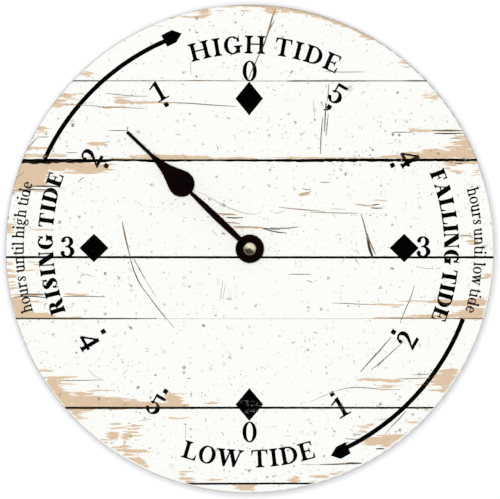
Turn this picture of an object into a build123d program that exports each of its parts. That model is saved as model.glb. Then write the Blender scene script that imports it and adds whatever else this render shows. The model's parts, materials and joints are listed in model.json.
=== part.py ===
from build123d import *
import os
from math import cos, radians, sin

# Wall tide clock: a round printed dial, one hand, and a battery movement that turns the hand
# once in a lunar half day. The dial faces -Y, the wall is towards +Y and +Z is up.
# The origin is the centre of the hanging hole, half way through the hanger's upper tab.
# Depths are measured from the movement's front face towards the wall, so what lies in front
# of the movement has a negative depth. Places are (right, up) from the hand's shaft, seen
# from the dial.

# Dial, millimetres throughout
dial_diameter = 254.0
dial_thickness = 6.0
dial_front_round = 1.0
dial_rear_chamfer = 0.6
dial_hole_clearance = 0.15

# Hand
hand_length = 88.0
hand_thickness = 0.5
hand_angle = 46.4
hub_radius = 7.4
stem_root_width = 2.65
stem_width = 3.3
stem_neck_width = 1.8
bulb_centre = 48.9
bulb_radius = 6.75
taper_end_width = 1.75
tip_width = 1.65
hand_gap = 0.4

# Cap nut on the end of the shaft
cap_nut_radius = 3.55
cap_nut_height = 3.6
cap_nut_rim = 0.9
cap_nut_tip_radius = 0.45
cap_thread_radius = 1.2
cap_thread_length = 2.0

# Nut, washers and threaded bushing that clamp the dial
bushing_radius = 4.0
bushing_show = 0.3
bushing_chamfer = 0.3
bushing_flange_radius = 5.6
bushing_flange_thickness = 0.7
nut_across_flats = 12.0
nut_height = 2.2
nut_chamfer = 0.3
dial_washer_radius = 6.8
dial_washer_thickness = 0.5
rubber_washer_radius = 12.0
rubber_washer_thickness = 1.0

# Hanger
hang_height = 38.0
hang_hole_radius = 4.0
hang_slot_width = 4.0
hang_slot_rise = 3.6
hanger_thickness = 0.8
hanger_width = 24.0
hanger_head = 11.0
hanger_corner = 5.0
hanger_foot_radius = 13.0
hanger_step = 3.0
hanger_step_rise = 3.0
hanger_step_clearance = 1.0

# Movement case
case_wall = 1.3
case_front_wall = 1.4
case_corner = 3.0
case_front_chamfer = 0.6
partition_wall = 1.2
shaft_margin = 4.0
cover_thickness = 1.6
cover_clearance = 0.2

# Battery and its bay
battery_diameter = 14.2
battery_length = 50.5
battery_edge_round = 0.6
button_radius = 2.75
button_height = 1.2
battery_play = 0.4
battery_lift = 0.2
battery_recess = 0.2
cradle_rib_width = 1.2
cradle_clearance = 0.15
finger_notch_width = 16.0
finger_notch_depth = 6.0

# Battery contacts
contact_thickness = 0.3
contact_space = 1.45
contact_gap = 0.05
contact_foot = 0.8
contact_bow_inset = 1.4
contact_tip_width = 2.4
contact_slot_clearance = 0.15

# Gear train
train_module = 0.25
coarse_module = 0.3125
tide_teeth = 40
motion_teeth = 46
clutch_teeth = 36
train_teeth = 48
setting_teeth = 23
pinion_teeth = 8
clutch_pinion_teeth = 10
addendum_share = 0.8
dedendum_share = 1.15
tooth_root_share = 0.26
tooth_tip_share = 0.10
wheel_hole_share = 0.16
wheel_hole_place_share = 0.6
wheel_hole_count = 5

# Bearings of each arbor from the one before it, degrees counter-clockwise from +X
motion_bearing = 45
clutch_bearing = 115
third_bearing = -170
second_bearing = -130
first_bearing = -175
rotor_bearing = 95
setting_bearing = -10

# Depths in the gear train
tide_wheel_thickness = 1.0
wheel_thickness = 0.6
layer_gap = 0.4
pinion_margin = 0.1
axial_play = 0.2
end_play = 0.1
running_clearance = 0.05
seat_clearance = 0.05
arbor_radius = 0.5
pivot_radius = 0.3
pivot_length = 0.7
pivot_end_space = 0.1
tide_arbor_radius = 1.5
tide_arbor_rear_radius = 1.0
tide_arbor_flat = 1.1
tide_pivot_radius = 0.6
clutch_spring_radius = 2.6
clutch_spring_thickness = 0.2
clutch_spring_arm = 0.8
clutch_spring_arms = 3

# Train bridge and posts
bridge_gap = 0.9
bridge_thickness = 1.0
bridge_corner = 2.0
bridge_side_gap = 0.5
bridge_top_gap = 0.5
bridge_lower_gap = 0.9
post_radius = 1.2
peg_radius = 0.7
post_inset = 2.1
post_edge = 1.8

# Motor
rotor_magnet_radius = 2.4
rotor_magnet_length = 1.8
rotor_arbor_radius = 0.6
rotor_hole_radius = 3.0
stator_notch_radius = 0.5
stator_thickness = 1.0
stator_inset = 3.7
stator_leg = 3.2
stator_reach = 6.5
stator_half_height = 4.85
stator_gap = 0.45
stator_leg_overrun = 0.45
stator_boss_radius = 1.4
core_thickness = 1.0
core_width = 2.5
coil_flange = 6.8
coil_flange_thickness = 0.8
coil_corner = 0.8
coil_wall = 0.7
coil_end_gap = 0.2
coil_clearance = 0.2
coil_margin = 2.25
coil_top_gap = 1.0
winding_inset = 0.5

# Circuit board and what is on it
board_gap = 0.9
board_thickness = 0.8
board_height = 8.6
board_top_gap = 0.5
board_post_drop = 1.7
middle_post_reach = 4.6
crystal_radius = 1.0
crystal_length = 6.0
crystal_reach = 8.0
chip_radius = 2.2
chip_height = 1.0
chip_reach = 8.0
chip_edge_round = 0.6

# Setting knob at the back
setting_arbor_radius = 1.0
setting_pivot_radius = 0.5
knob_radius = 5.0
knob_clearance = 0.3
knob_flange_radius = 5.9
knob_flange_thickness = 1.0
knob_flange_gap = 0.2
knob_recess = 0.3
knob_slot_width = 1.4
knob_slot_depth = 0.8
knob_groove_radius = 0.35
knob_grooves = 24

# Snap tongues of the rear cover
tongue_width = 6.0
tongue_thickness = 1.0
tongue_length = 2.8
tongue_reach = 12.0
barb_depth = 0.4
barb_start = 0.9
barb_length = 0.9
window_clearance = 0.2

# One overrun for every cut
overrun = 1.0

os.makedirs("parts", exist_ok=True)


# Gear geometry
def tip_radius(teeth, module):
    """Outside radius of a toothed wheel."""
    return teeth * module / 2 + addendum_share * module


def spacing(module, teeth, other_teeth):
    """Distance between two arbors whose wheels mesh."""
    return module * (teeth + other_teeth) / 2


def beside(place, distance, bearing):
    """The place a distance away, at a bearing counter-clockwise from +X as seen from the dial."""
    turn = radians(bearing)
    return (place[0] + distance * cos(turn), place[1] + distance * sin(turn))


def meshed(bearing, teeth, own_teeth):
    """Turn of a wheel in mesh with another at that bearing, whose first tooth points to +X."""
    offset = bearing * teeth / 360
    return bearing + 180 + (offset - 0.5) * 360 / own_teeth


def tooth_points(teeth, module, turn):
    """Outline of straight-sided teeth about the origin, the first tooth at the angle turn."""
    pitch = 360 / teeth
    root = teeth * module / 2 - dedendum_share * module
    tip = tip_radius(teeth, module)
    corners = [
        (root, -tooth_root_share),
        (tip, -tooth_tip_share),
        (tip, tooth_tip_share),
        (root, tooth_root_share),
    ]
    points = []
    for tooth in range(teeth):
        for radius, share in corners:
            angle = radians(turn + (tooth + share) * pitch)
            points.append((radius * cos(angle), radius * sin(angle)))
    return points


# Places of the arbors
tide_place = (0, 0)
motion_place = beside(tide_place, spacing(coarse_module, tide_teeth, pinion_teeth), motion_bearing)
clutch_place = beside(
    motion_place, spacing(train_module, motion_teeth, clutch_pinion_teeth), clutch_bearing
)
third_place = beside(clutch_place, spacing(coarse_module, clutch_teeth, pinion_teeth), third_bearing)
second_place = beside(third_place, spacing(train_module, train_teeth, pinion_teeth), second_bearing)
first_place = beside(second_place, spacing(train_module, train_teeth, pinion_teeth), first_bearing)
rotor_place = beside(first_place, spacing(train_module, train_teeth, pinion_teeth), rotor_bearing)
setting_place = beside(
    motion_place, spacing(train_module, motion_teeth, setting_teeth), setting_bearing
)

# Depths in front of the movement
rubber_front = -hanger_thickness - rubber_washer_thickness
dial_front = rubber_front - dial_thickness
dial_washer_front = dial_front - dial_washer_thickness
nut_front = dial_washer_front - nut_height
bushing_front = nut_front - bushing_show
hand_rear = bushing_front - hand_gap
hand_front = hand_rear - hand_thickness

# Depths inside the movement
tide_wheel_front = case_front_wall + axial_play
tide_wheel_rear = tide_wheel_front + tide_wheel_thickness
motion_front = tide_wheel_rear + layer_gap
clutch_pinion_rear = motion_front + wheel_thickness + pinion_margin
clutch_front = clutch_pinion_rear + clutch_spring_thickness + running_clearance
third_front = clutch_front + wheel_thickness + layer_gap
second_front = third_front + wheel_thickness + layer_gap
first_front = second_front + wheel_thickness + layer_gap
bridge_front = first_front + wheel_thickness + bridge_gap
bridge_rear = bridge_front + bridge_thickness
board_front = bridge_rear + board_gap
board_rear = board_front + board_thickness
battery_depth = case_front_wall + battery_lift + battery_diameter / 2
case_depth = battery_depth + battery_diameter / 2 + battery_recess
cover_front = case_depth - cover_thickness
core_depth = case_front_wall + coil_clearance + coil_flange / 2
stator_rear = core_depth - core_thickness / 2
stator_front = stator_rear - stator_thickness

# Heights and half widths inside the movement, from the shaft
inner_half = battery_length / 2 + contact_space
case_half = inner_half + case_wall
partition_top = -tip_radius(tide_teeth, coarse_module) - shaft_margin
bay_top = partition_top - partition_wall
bay_bottom = bay_top - battery_diameter - 2 * battery_play
case_bottom = bay_bottom - case_wall
battery_height = (bay_top + bay_bottom) / 2
coil_bottom = third_place[1] + tip_radius(train_teeth, train_module) + coil_margin
core_height = coil_bottom + coil_flange / 2
inner_top = coil_bottom + coil_flange + coil_top_gap
case_top = inner_top + case_wall
board_top = inner_top - board_top_gap
board_bottom = board_top - board_height
bridge_top = coil_bottom - bridge_top_gap
bridge_bottom = partition_top + bridge_lower_gap
bridge_half = inner_half - contact_thickness - bridge_side_gap
post_side = inner_half - post_inset
post_places = [
    (side, height)
    for side in (-post_side, post_side)
    for height in (bridge_bottom + post_edge, bridge_top - post_edge)
]
stator_left = stator_inset - inner_half
stator_right = clutch_place[0] - tip_radius(clutch_teeth, coarse_module) - stator_gap
stator_bottom = rotor_place[1] - stator_half_height
stator_top = rotor_place[1] + stator_half_height
stator_leg_top = core_height + core_width / 2 + stator_leg_overrun
stator_peg_places = [
    (stator_left + stator_leg / 2, core_height),
    (stator_right - stator_leg / 2, core_height),
    (stator_left + stator_leg / 2, stator_bottom + stator_leg / 2),
]
board_post_places = [
    (-post_side, inner_top - board_post_drop),
    (post_side, inner_top - board_post_drop),
    (middle_post_reach, core_height),
]
front_pivot_places = [motion_place, clutch_place, third_place, second_place, first_place, rotor_place]
tongue_places = (-tongue_reach, tongue_reach)
barb_front = cover_front - tongue_length + barb_start

# The movement's front face and the hand's shaft in the part's own frame
case_front_y = hanger_thickness / 2 - hanger_step
shaft_z = -hang_height
shaft_axis = Axis((0, case_front_y, shaft_z), (0, 1, 0))


# Drawing planes
def layer(depth, place=(0, 0), turn=0):
    """A plane across the shaft at a depth, seen from the dial, about a place and turned."""
    origin = (place[0], case_front_y + depth, shaft_z + place[1])
    own_right = (cos(radians(turn)), 0, sin(radians(turn)))
    return Plane(origin, x_dir=own_right, z_dir=(0, -1, 0))


def section(across, depth, height):
    """A plane across the X axis: its own x is depth and its own y is height."""
    origin = (across, case_front_y + depth, shaft_z + height)
    return Plane(origin, x_dir=(0, 1, 0), z_dir=(1, 0, 0))


def front_edges(part):
    """Edges of the part's face nearest the viewer."""
    return part.faces().sort_by(Axis.Y)[0].edges()


# Dial disc
with BuildPart() as dial_disc:
    with BuildSketch(layer(rubber_front)):
        Circle(dial_diameter / 2)
        Circle(bushing_radius + dial_hole_clearance, mode=Mode.SUBTRACT)
    extrude(amount=dial_thickness)
    rim_edges = dial_disc.edges().filter_by(GeomType.CIRCLE).group_by(SortBy.RADIUS)[-1]
    fillet(rim_edges.sort_by(Axis.Y)[0], radius=dial_front_round)
    rim_edges = dial_disc.edges().filter_by(GeomType.CIRCLE).group_by(SortBy.RADIUS)[-1]
    chamfer(rim_edges.sort_by(Axis.Y)[-1], length=dial_rear_chamfer)
dial_disc.part.label = "dial_disc"
export_step(dial_disc.part, "parts/dial_disc.step")

# Tide hand: hub, stem that swells and narrows, round bulb and a long taper to a square tip.
# Its stations along the hand are shares of the stretch that they divide, and its widths are
# shares of the width at that stretch's wide end.
stem_start = (hub_radius**2 - (stem_root_width / 2) ** 2) ** 0.5
bulb_start = bulb_centre - (bulb_radius**2 - (stem_neck_width / 2) ** 2) ** 0.5
stem_swell_share = 0.36
stem_shoulder_share = 0.68
stem_shoulder_width_share = 0.9
taper_stations_shares = [(0.12, 0.82), (0.28, 0.455), (0.4, 0.285), (0.5, 0.18)]
taper_end_share = 0.61
taper_length = hand_length - bulb_centre
taper_end = bulb_centre + taper_end_share * taper_length
with BuildPart() as tide_hand:
    with BuildSketch(layer(hand_rear, turn=hand_angle)):
        with BuildLine():
            ThreePointArc(
                (0, -hub_radius), (hub_radius, 0), (stem_root_width / 2, stem_start)
            )
            Spline(
                (stem_root_width / 2, stem_start),
                (stem_width / 2, stem_start + stem_swell_share * (bulb_start - stem_start)),
                (
                    stem_width * stem_shoulder_width_share / 2,
                    stem_start + stem_shoulder_share * (bulb_start - stem_start),
                ),
                (stem_neck_width / 2, bulb_start),
            )
            ThreePointArc(
                (stem_neck_width / 2, bulb_start),
                (bulb_radius * sin(radians(45)), bulb_centre - bulb_radius * cos(radians(45))),
                (bulb_radius, bulb_centre),
            )
            Spline(
                (bulb_radius, bulb_centre),
                *[
                    (bulb_radius * width, bulb_centre + taper_length * along)
                    for along, width in taper_stations_shares
                ],
                (taper_end_width / 2, taper_end),
                tangents=[(0, 1), (0, 1)],
            )
            Polyline(
                (taper_end_width / 2, taper_end),
                (tip_width / 2, hand_length),
                (0, hand_length),
                (0, -hub_radius),
            )
        make_face()
        mirror(about=Plane.YZ)
        with BuildSketch(mode=Mode.PRIVATE) as shaft_end:
            Circle(tide_arbor_radius + seat_clearance)
            Rectangle(
                2 * (tide_arbor_radius + overrun),
                2 * (tide_arbor_flat + seat_clearance),
                mode=Mode.INTERSECT,
            )
        add(shaft_end.sketch, mode=Mode.SUBTRACT)
    extrude(amount=hand_thickness)
tide_hand.part.label = "tide_hand"
export_step(tide_hand.part, "parts/tide_hand.step")

# Cap nut, whose dome leaves the rim almost straight and reaches its tip at a slope
dome_directions = [(-0.4, 1), (-1, 0.9)]
with BuildPart() as cap_nut:
    nut_plane = Plane(
        (0, case_front_y + hand_front, shaft_z), x_dir=(1, 0, 0), z_dir=(0, 0, -1)
    )
    with BuildSketch(nut_plane):
        with BuildLine():
            Polyline(
                (0, cap_nut_height),
                (0, 0),
                (cap_nut_radius, 0),
                (cap_nut_radius, cap_nut_rim),
            )
            Spline(
                (cap_nut_radius, cap_nut_rim),
                (cap_nut_tip_radius, cap_nut_height),
                tangents=dome_directions,
            )
            Line((cap_nut_tip_radius, cap_nut_height), (0, cap_nut_height))
        make_face()
    revolve(axis=shaft_axis)
    with BuildSketch(layer(hand_front)):
        Circle(cap_thread_radius + seat_clearance)
    extrude(amount=cap_thread_length + seat_clearance, mode=Mode.SUBTRACT)
cap_nut.part.label = "cap_nut"
export_step(cap_nut.part, "parts/cap_nut.step")

# Threaded bushing, its hexagonal flange sunk into the case's front wall
with BuildPart() as threaded_bushing:
    with BuildSketch(layer(case_front_wall)):
        RegularPolygon(bushing_flange_radius, 6, major_radius=False)
    extrude(amount=bushing_flange_thickness)
    with BuildSketch(layer(case_front_wall - bushing_flange_thickness)):
        Circle(bushing_radius)
    extrude(amount=case_front_wall - bushing_flange_thickness - bushing_front)
    chamfer(front_edges(threaded_bushing), length=bushing_chamfer)
    with BuildSketch(layer(case_front_wall)):
        Circle(tide_arbor_radius + running_clearance)
    extrude(amount=case_front_wall - bushing_front, mode=Mode.SUBTRACT)
threaded_bushing.part.label = "threaded_bushing"
export_step(threaded_bushing.part, "parts/threaded_bushing.step")

# Hexagon nut
with BuildPart() as hex_nut:
    with BuildSketch(layer(dial_washer_front)):
        RegularPolygon(nut_across_flats / 2, 6, major_radius=False)
    extrude(amount=nut_height)
    chamfer(front_edges(hex_nut), length=nut_chamfer)
    with BuildSketch(layer(dial_washer_front)):
        Circle(bushing_radius + seat_clearance)
    extrude(amount=nut_height, mode=Mode.SUBTRACT)
hex_nut.part.label = "hex_nut"
export_step(hex_nut.part, "parts/hex_nut.step")


def washer(rear, thickness, radius):
    """A flat ring round the bushing."""
    with BuildPart() as ring:
        with BuildSketch(layer(rear)):
            Circle(radius)
            Circle(bushing_radius + dial_hole_clearance, mode=Mode.SUBTRACT)
        extrude(amount=thickness)
    return ring


# Washers before and behind the dial
dial_washer = washer(dial_front, dial_washer_thickness, dial_washer_radius)
dial_washer.part.label = "dial_washer"
export_step(dial_washer.part, "parts/dial_washer.step")
rubber_washer = washer(-hanger_thickness, rubber_washer_thickness, rubber_washer_radius)
rubber_washer.part.label = "rubber_washer"
export_step(rubber_washer.part, "parts/rubber_washer.step")

# Hanger: a flat foot clamped behind the dial, a step back above the case, and a tab with a
# keyhole for the nail
with BuildPart() as hanger_plate:
    foot_rear = case_front_y
    foot_front = foot_rear - hanger_thickness
    step_start = shaft_z + case_top + hanger_step_clearance
    step_end = step_start + hanger_step_rise
    plate_bottom = shaft_z - hanger_foot_radius
    with BuildSketch(Plane.YZ):
        with BuildLine():
            Polyline(
                (foot_rear, plate_bottom),
                (foot_rear, step_start),
                (hanger_thickness / 2, step_end),
                (hanger_thickness / 2, hanger_head),
                (-hanger_thickness / 2, hanger_head),
                (-hanger_thickness / 2, step_end),
                (foot_front, step_start),
                (foot_front, plate_bottom),
                close=True,
            )
        make_face()
    extrude(amount=hanger_width, both=True)
    with BuildSketch(Plane.XZ):
        with Locations((0, (hanger_head + shaft_z) / 2)):
            Rectangle(hanger_width, hanger_head - shaft_z)
        fillet(vertices().group_by(Axis.Y)[-1], radius=hanger_corner)
        with Locations((0, shaft_z)):
            Circle(hanger_foot_radius)
            Circle(bushing_radius + dial_hole_clearance, mode=Mode.SUBTRACT)
        Circle(hang_hole_radius, mode=Mode.SUBTRACT)
        with Locations((0, (hang_hole_radius + hang_slot_rise) / 2)):
            Rectangle(hang_slot_width, hang_hole_radius + hang_slot_rise, mode=Mode.SUBTRACT)
        with Locations((0, hang_hole_radius + hang_slot_rise)):
            Circle(hang_slot_width / 2, mode=Mode.SUBTRACT)
    extrude(amount=hanger_step + hanger_thickness, both=True, mode=Mode.INTERSECT)
hanger_plate.part.label = "hanger_plate"
export_step(hanger_plate.part, "parts/hanger_plate.step")

# Movement case: front wall, side walls, the partition over the battery bay, posts and bearings
with BuildPart() as movement_case:
    case_middle = (0, (case_top + case_bottom) / 2)
    with BuildSketch(layer(case_depth, case_middle)):
        RectangleRounded(2 * case_half, case_top - case_bottom, case_corner)
    extrude(amount=case_depth)
    chamfer(front_edges(movement_case), length=case_front_chamfer)
    with BuildSketch(layer(case_depth)):
        with Locations((0, (inner_top + partition_top) / 2)):
            Rectangle(2 * inner_half, inner_top - partition_top)
        with Locations((0, battery_height)):
            Rectangle(2 * inner_half, bay_top - bay_bottom)
    extrude(amount=case_depth - case_front_wall, mode=Mode.SUBTRACT)
    with BuildSketch(layer(case_depth)):
        with Locations((0, (partition_top + bay_top) / 2)):
            Rectangle(2 * inner_half, partition_wall)
    extrude(amount=cover_thickness, mode=Mode.SUBTRACT)
    rib_place_shares = (-0.3, 0, 0.3)
    for rib_share in rib_place_shares:
        rib_place = rib_share * battery_length - cradle_rib_width / 2
        with BuildSketch(section(rib_place, battery_depth, battery_height)):
            with Locations(((case_front_wall - battery_depth) / 2, 0)):
                Rectangle(battery_depth - case_front_wall, bay_top - bay_bottom)
            Circle(battery_diameter / 2 + cradle_clearance, mode=Mode.SUBTRACT)
        extrude(amount=cradle_rib_width)
    with BuildSketch(layer(bridge_front)):
        with Locations(post_places):
            Circle(post_radius)
    extrude(amount=bridge_front - case_front_wall)
    with BuildSketch(layer(bridge_rear)):
        with Locations(post_places):
            Circle(peg_radius)
    extrude(amount=bridge_thickness)
    with BuildSketch(layer(stator_front)):
        with Locations(stator_peg_places):
            Circle(stator_boss_radius)
    extrude(amount=stator_front - case_front_wall)
    with BuildSketch(layer(core_depth + core_thickness / 2)):
        with Locations(stator_peg_places[:2]):
            Circle(peg_radius)
    extrude(amount=stator_thickness + core_thickness)
    with BuildSketch(layer(stator_rear)):
        with Locations(stator_peg_places[2:]):
            Circle(peg_radius)
    extrude(amount=stator_thickness)
    with BuildSketch(layer(board_front)):
        with Locations(board_post_places):
            Circle(post_radius)
    extrude(amount=board_front - case_front_wall)
    with BuildSketch(layer(board_rear)):
        with Locations(board_post_places):
            Circle(peg_radius)
    extrude(amount=board_thickness)
    with BuildSketch(layer(case_front_wall)):
        with Locations(front_pivot_places):
            Circle(pivot_radius + running_clearance)
        with Locations(setting_place):
            Circle(setting_pivot_radius + running_clearance)
    extrude(amount=pivot_length + pivot_end_space, mode=Mode.SUBTRACT)
    with BuildSketch(layer(case_front_wall)):
        RegularPolygon(bushing_flange_radius + seat_clearance, 6, major_radius=False)
    extrude(amount=bushing_flange_thickness, mode=Mode.SUBTRACT)
    with BuildSketch(layer(case_front_wall)):
        Circle(bushing_radius + seat_clearance)
    extrude(amount=case_front_wall, mode=Mode.SUBTRACT)
    strip_front = 2 * battery_depth - board_rear
    slot_width = contact_thickness + contact_slot_clearance
    with BuildSketch(layer(cover_front, (0, (partition_top + bay_top) / 2))):
        with Locations(((slot_width / 2 - inner_half), 0), ((inner_half - slot_width / 2), 0)):
            Rectangle(slot_width, partition_wall)
    extrude(amount=cover_front - strip_front + contact_slot_clearance, mode=Mode.SUBTRACT)
    window_rear = barb_front + barb_length + window_clearance
    with BuildSketch(layer(window_rear)):
        with Locations([(place, inner_top + case_wall / 2) for place in tongue_places]):
            Rectangle(tongue_width + 2 * window_clearance, case_wall)
        with Locations([(place, (partition_top + bay_top) / 2) for place in tongue_places]):
            Rectangle(tongue_width + 2 * window_clearance, partition_wall)
    extrude(amount=barb_length + 2 * window_clearance, mode=Mode.SUBTRACT)
    with BuildSketch(layer(case_depth, (0, bay_bottom - case_wall / 2))):
        Rectangle(finger_notch_width, case_wall)
    extrude(amount=finger_notch_depth, mode=Mode.SUBTRACT)
movement_case.part.label = "movement_case"
export_step(movement_case.part, "parts/movement_case.step")

# Rear cover over the gear train, with the knob's opening and four snap tongues
with BuildPart() as rear_cover:
    cover_top = inner_top - cover_clearance
    cover_bottom = bay_top + cover_clearance
    with BuildSketch(layer(case_depth, (0, (cover_top + cover_bottom) / 2))):
        Rectangle(2 * (inner_half - cover_clearance), cover_top - cover_bottom)
    extrude(amount=cover_thickness)
    with BuildSketch(layer(case_depth, setting_place)):
        Circle(knob_radius + knob_clearance)
    extrude(amount=cover_thickness, mode=Mode.SUBTRACT)
    tongue_heights = (
        cover_top - tongue_thickness / 2,
        partition_top + cover_clearance + tongue_thickness / 2,
    )
    with BuildSketch(layer(cover_front)):
        with Locations([(place, height) for place in tongue_places for height in tongue_heights]):
            Rectangle(tongue_width, tongue_thickness)
    extrude(amount=tongue_length)
    barb_heights = (cover_top + barb_depth / 2, partition_top + cover_clearance - barb_depth / 2)
    with BuildSketch(layer(barb_front + barb_length)):
        with Locations([(place, height) for place in tongue_places for height in barb_heights]):
            Rectangle(tongue_width, barb_depth)
    extrude(amount=barb_length)
rear_cover.part.label = "rear_cover"
export_step(rear_cover.part, "parts/rear_cover.step")

# Train bridge that carries the rear pivots
with BuildPart() as train_bridge:
    with BuildSketch(layer(bridge_rear)):
        with Locations((0, (bridge_top + bridge_bottom) / 2)):
            RectangleRounded(2 * bridge_half, bridge_top - bridge_bottom, bridge_corner)
        with Locations(post_places):
            Circle(peg_radius + seat_clearance, mode=Mode.SUBTRACT)
        with Locations(front_pivot_places):
            Circle(pivot_radius + running_clearance, mode=Mode.SUBTRACT)
        Circle(tide_pivot_radius + running_clearance, mode=Mode.SUBTRACT)
        with Locations(setting_place):
            Circle(setting_arbor_radius + running_clearance, mode=Mode.SUBTRACT)
    extrude(amount=bridge_thickness)
train_bridge.part.label = "train_bridge"
export_step(train_bridge.part, "parts/train_bridge.step")

# Tide arbor: rear pivot, body, running part in the bushing, flats for the hand, thread
with BuildPart() as tide_arbor:
    with BuildSketch(layer(bridge_front + pivot_length)):
        Circle(tide_pivot_radius)
    extrude(amount=pivot_length + end_play)
    with BuildSketch(layer(bridge_front - end_play)):
        Circle(tide_arbor_rear_radius)
    extrude(amount=bridge_front - end_play - tide_wheel_rear)
    with BuildSketch(layer(tide_wheel_rear)):
        Circle(tide_arbor_radius)
    extrude(amount=tide_wheel_rear - hand_rear)
    with BuildSketch(layer(hand_rear, turn=hand_angle)):
        Circle(tide_arbor_radius)
        Rectangle(
            2 * (tide_arbor_radius + overrun), 2 * tide_arbor_flat, mode=Mode.INTERSECT
        )
    extrude(amount=hand_thickness)
    with BuildSketch(layer(hand_front)):
        Circle(cap_thread_radius)
    extrude(amount=cap_thread_length)
tide_arbor.part.label = "tide_arbor"
export_step(tide_arbor.part, "parts/tide_arbor.step")

# Tide wheel, pressed on the tide arbor
with BuildPart() as tide_wheel:
    with BuildSketch(layer(tide_wheel_rear)):
        with BuildLine():
            Polyline(*tooth_points(tide_teeth, coarse_module, 0), close=True)
        make_face()
        wheel_radius = tip_radius(tide_teeth, coarse_module)
        with PolarLocations(wheel_radius * wheel_hole_place_share, wheel_hole_count):
            Circle(wheel_radius * wheel_hole_share, mode=Mode.SUBTRACT)
        Circle(tide_arbor_radius, mode=Mode.SUBTRACT)
    extrude(amount=tide_wheel_thickness)
tide_wheel.part.label = "tide_wheel"
export_step(tide_wheel.part, "parts/tide_wheel.step")


def arbor_wheel(place, teeth, module, front, pinion_module=0, pinion_front=0, pinion_turn=0):
    """A wheel moulded in one with its arbor and, if it has one, the pinion in front of it."""
    with BuildPart() as moulding:
        with BuildSketch(layer(bridge_front - end_play, place)):
            Circle(arbor_radius)
        extrude(amount=bridge_front - case_front_wall - 2 * end_play)
        with BuildSketch(layer(bridge_front + pivot_length, place)):
            Circle(pivot_radius)
        extrude(amount=bridge_front - case_front_wall + 2 * pivot_length)
        with BuildSketch(layer(front + wheel_thickness, place)):
            with BuildLine():
                Polyline(*tooth_points(teeth, module, 0), close=True)
            make_face()
            wheel_radius = tip_radius(teeth, module)
            with PolarLocations(wheel_radius * wheel_hole_place_share, wheel_hole_count):
                Circle(wheel_radius * wheel_hole_share, mode=Mode.SUBTRACT)
        extrude(amount=wheel_thickness)
        if pinion_module:
            with BuildSketch(layer(front, place)):
                with BuildLine():
                    Polyline(
                        *tooth_points(pinion_teeth, pinion_module, pinion_turn), close=True
                    )
                make_face()
            extrude(amount=front - pinion_front)
    return moulding


# Motion wheel, whose pinion turns the tide wheel
motion_wheel = arbor_wheel(
    motion_place,
    motion_teeth,
    train_module,
    motion_front,
    coarse_module,
    tide_wheel_front - pinion_margin,
    meshed(motion_bearing, tide_teeth, pinion_teeth),
)
motion_wheel.part.label = "motion_wheel"
export_step(motion_wheel.part, "parts/motion_wheel.step")

# Clutch wheel, whose arbor carries the clutch pinion
clutch_wheel = arbor_wheel(clutch_place, clutch_teeth, coarse_module, clutch_front)
clutch_wheel.part.label = "clutch_wheel"
export_step(clutch_wheel.part, "parts/clutch_wheel.step")

# Third wheel, whose pinion turns the clutch wheel
third_wheel = arbor_wheel(
    third_place,
    train_teeth,
    train_module,
    third_front,
    coarse_module,
    clutch_front - pinion_margin,
    meshed(third_bearing, clutch_teeth, pinion_teeth),
)
third_wheel.part.label = "third_wheel"
export_step(third_wheel.part, "parts/third_wheel.step")

# Second wheel, whose pinion turns the third wheel
second_wheel = arbor_wheel(
    second_place,
    train_teeth,
    train_module,
    second_front,
    train_module,
    third_front - pinion_margin,
    meshed(second_bearing, train_teeth, pinion_teeth),
)
second_wheel.part.label = "second_wheel"
export_step(second_wheel.part, "parts/second_wheel.step")

# First wheel, whose pinion turns the second wheel
first_wheel = arbor_wheel(
    first_place,
    train_teeth,
    train_module,
    first_front,
    train_module,
    second_front - pinion_margin,
    meshed(first_bearing, train_teeth, pinion_teeth),
)
first_wheel.part.label = "first_wheel"
export_step(first_wheel.part, "parts/first_wheel.step")

# Clutch pinion, which slips on the clutch wheel's arbor when the hand is set
with BuildPart() as clutch_pinion:
    pinion_turn = meshed(clutch_bearing, motion_teeth, clutch_pinion_teeth)
    with BuildSketch(layer(clutch_pinion_rear, clutch_place)):
        with BuildLine():
            Polyline(
                *tooth_points(clutch_pinion_teeth, train_module, pinion_turn), close=True
            )
        make_face()
        Circle(arbor_radius + running_clearance, mode=Mode.SUBTRACT)
    extrude(amount=wheel_thickness + 2 * pinion_margin)
clutch_pinion.part.label = "clutch_pinion"
export_step(clutch_pinion.part, "parts/clutch_pinion.step")

# Clutch spring: a ring with three arms that press on the clutch wheel
with BuildPart() as clutch_spring:
    with BuildSketch(layer(clutch_pinion_rear + clutch_spring_thickness, clutch_place)):
        Circle(clutch_spring_radius)
        Circle(clutch_spring_radius - clutch_spring_arm, mode=Mode.SUBTRACT)
        with PolarLocations(clutch_spring_radius / 2, clutch_spring_arms):
            Rectangle(clutch_spring_radius, clutch_spring_arm)
        Circle(arbor_radius + clutch_spring_arm / 2)
        Circle(arbor_radius + running_clearance, mode=Mode.SUBTRACT)
    extrude(amount=clutch_spring_thickness)
clutch_spring.part.label = "clutch_spring"
export_step(clutch_spring.part, "parts/clutch_spring.step")

# Rotor pinion and its arbor
with BuildPart() as rotor_pinion:
    with BuildSketch(layer(bridge_front + pivot_length, rotor_place)):
        Circle(pivot_radius)
    extrude(amount=bridge_front - case_front_wall + 2 * pivot_length)
    with BuildSketch(layer(bridge_front - end_play, rotor_place)):
        Circle(rotor_arbor_radius)
    extrude(amount=bridge_front - case_front_wall - 2 * end_play)
    pinion_turn = meshed(rotor_bearing, train_teeth, pinion_teeth)
    with BuildSketch(layer(first_front + wheel_thickness + pinion_margin, rotor_place)):
        with BuildLine():
            Polyline(*tooth_points(pinion_teeth, train_module, pinion_turn), close=True)
        make_face()
    extrude(amount=wheel_thickness + 2 * pinion_margin)
rotor_pinion.part.label = "rotor_pinion"
export_step(rotor_pinion.part, "parts/rotor_pinion.step")

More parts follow.
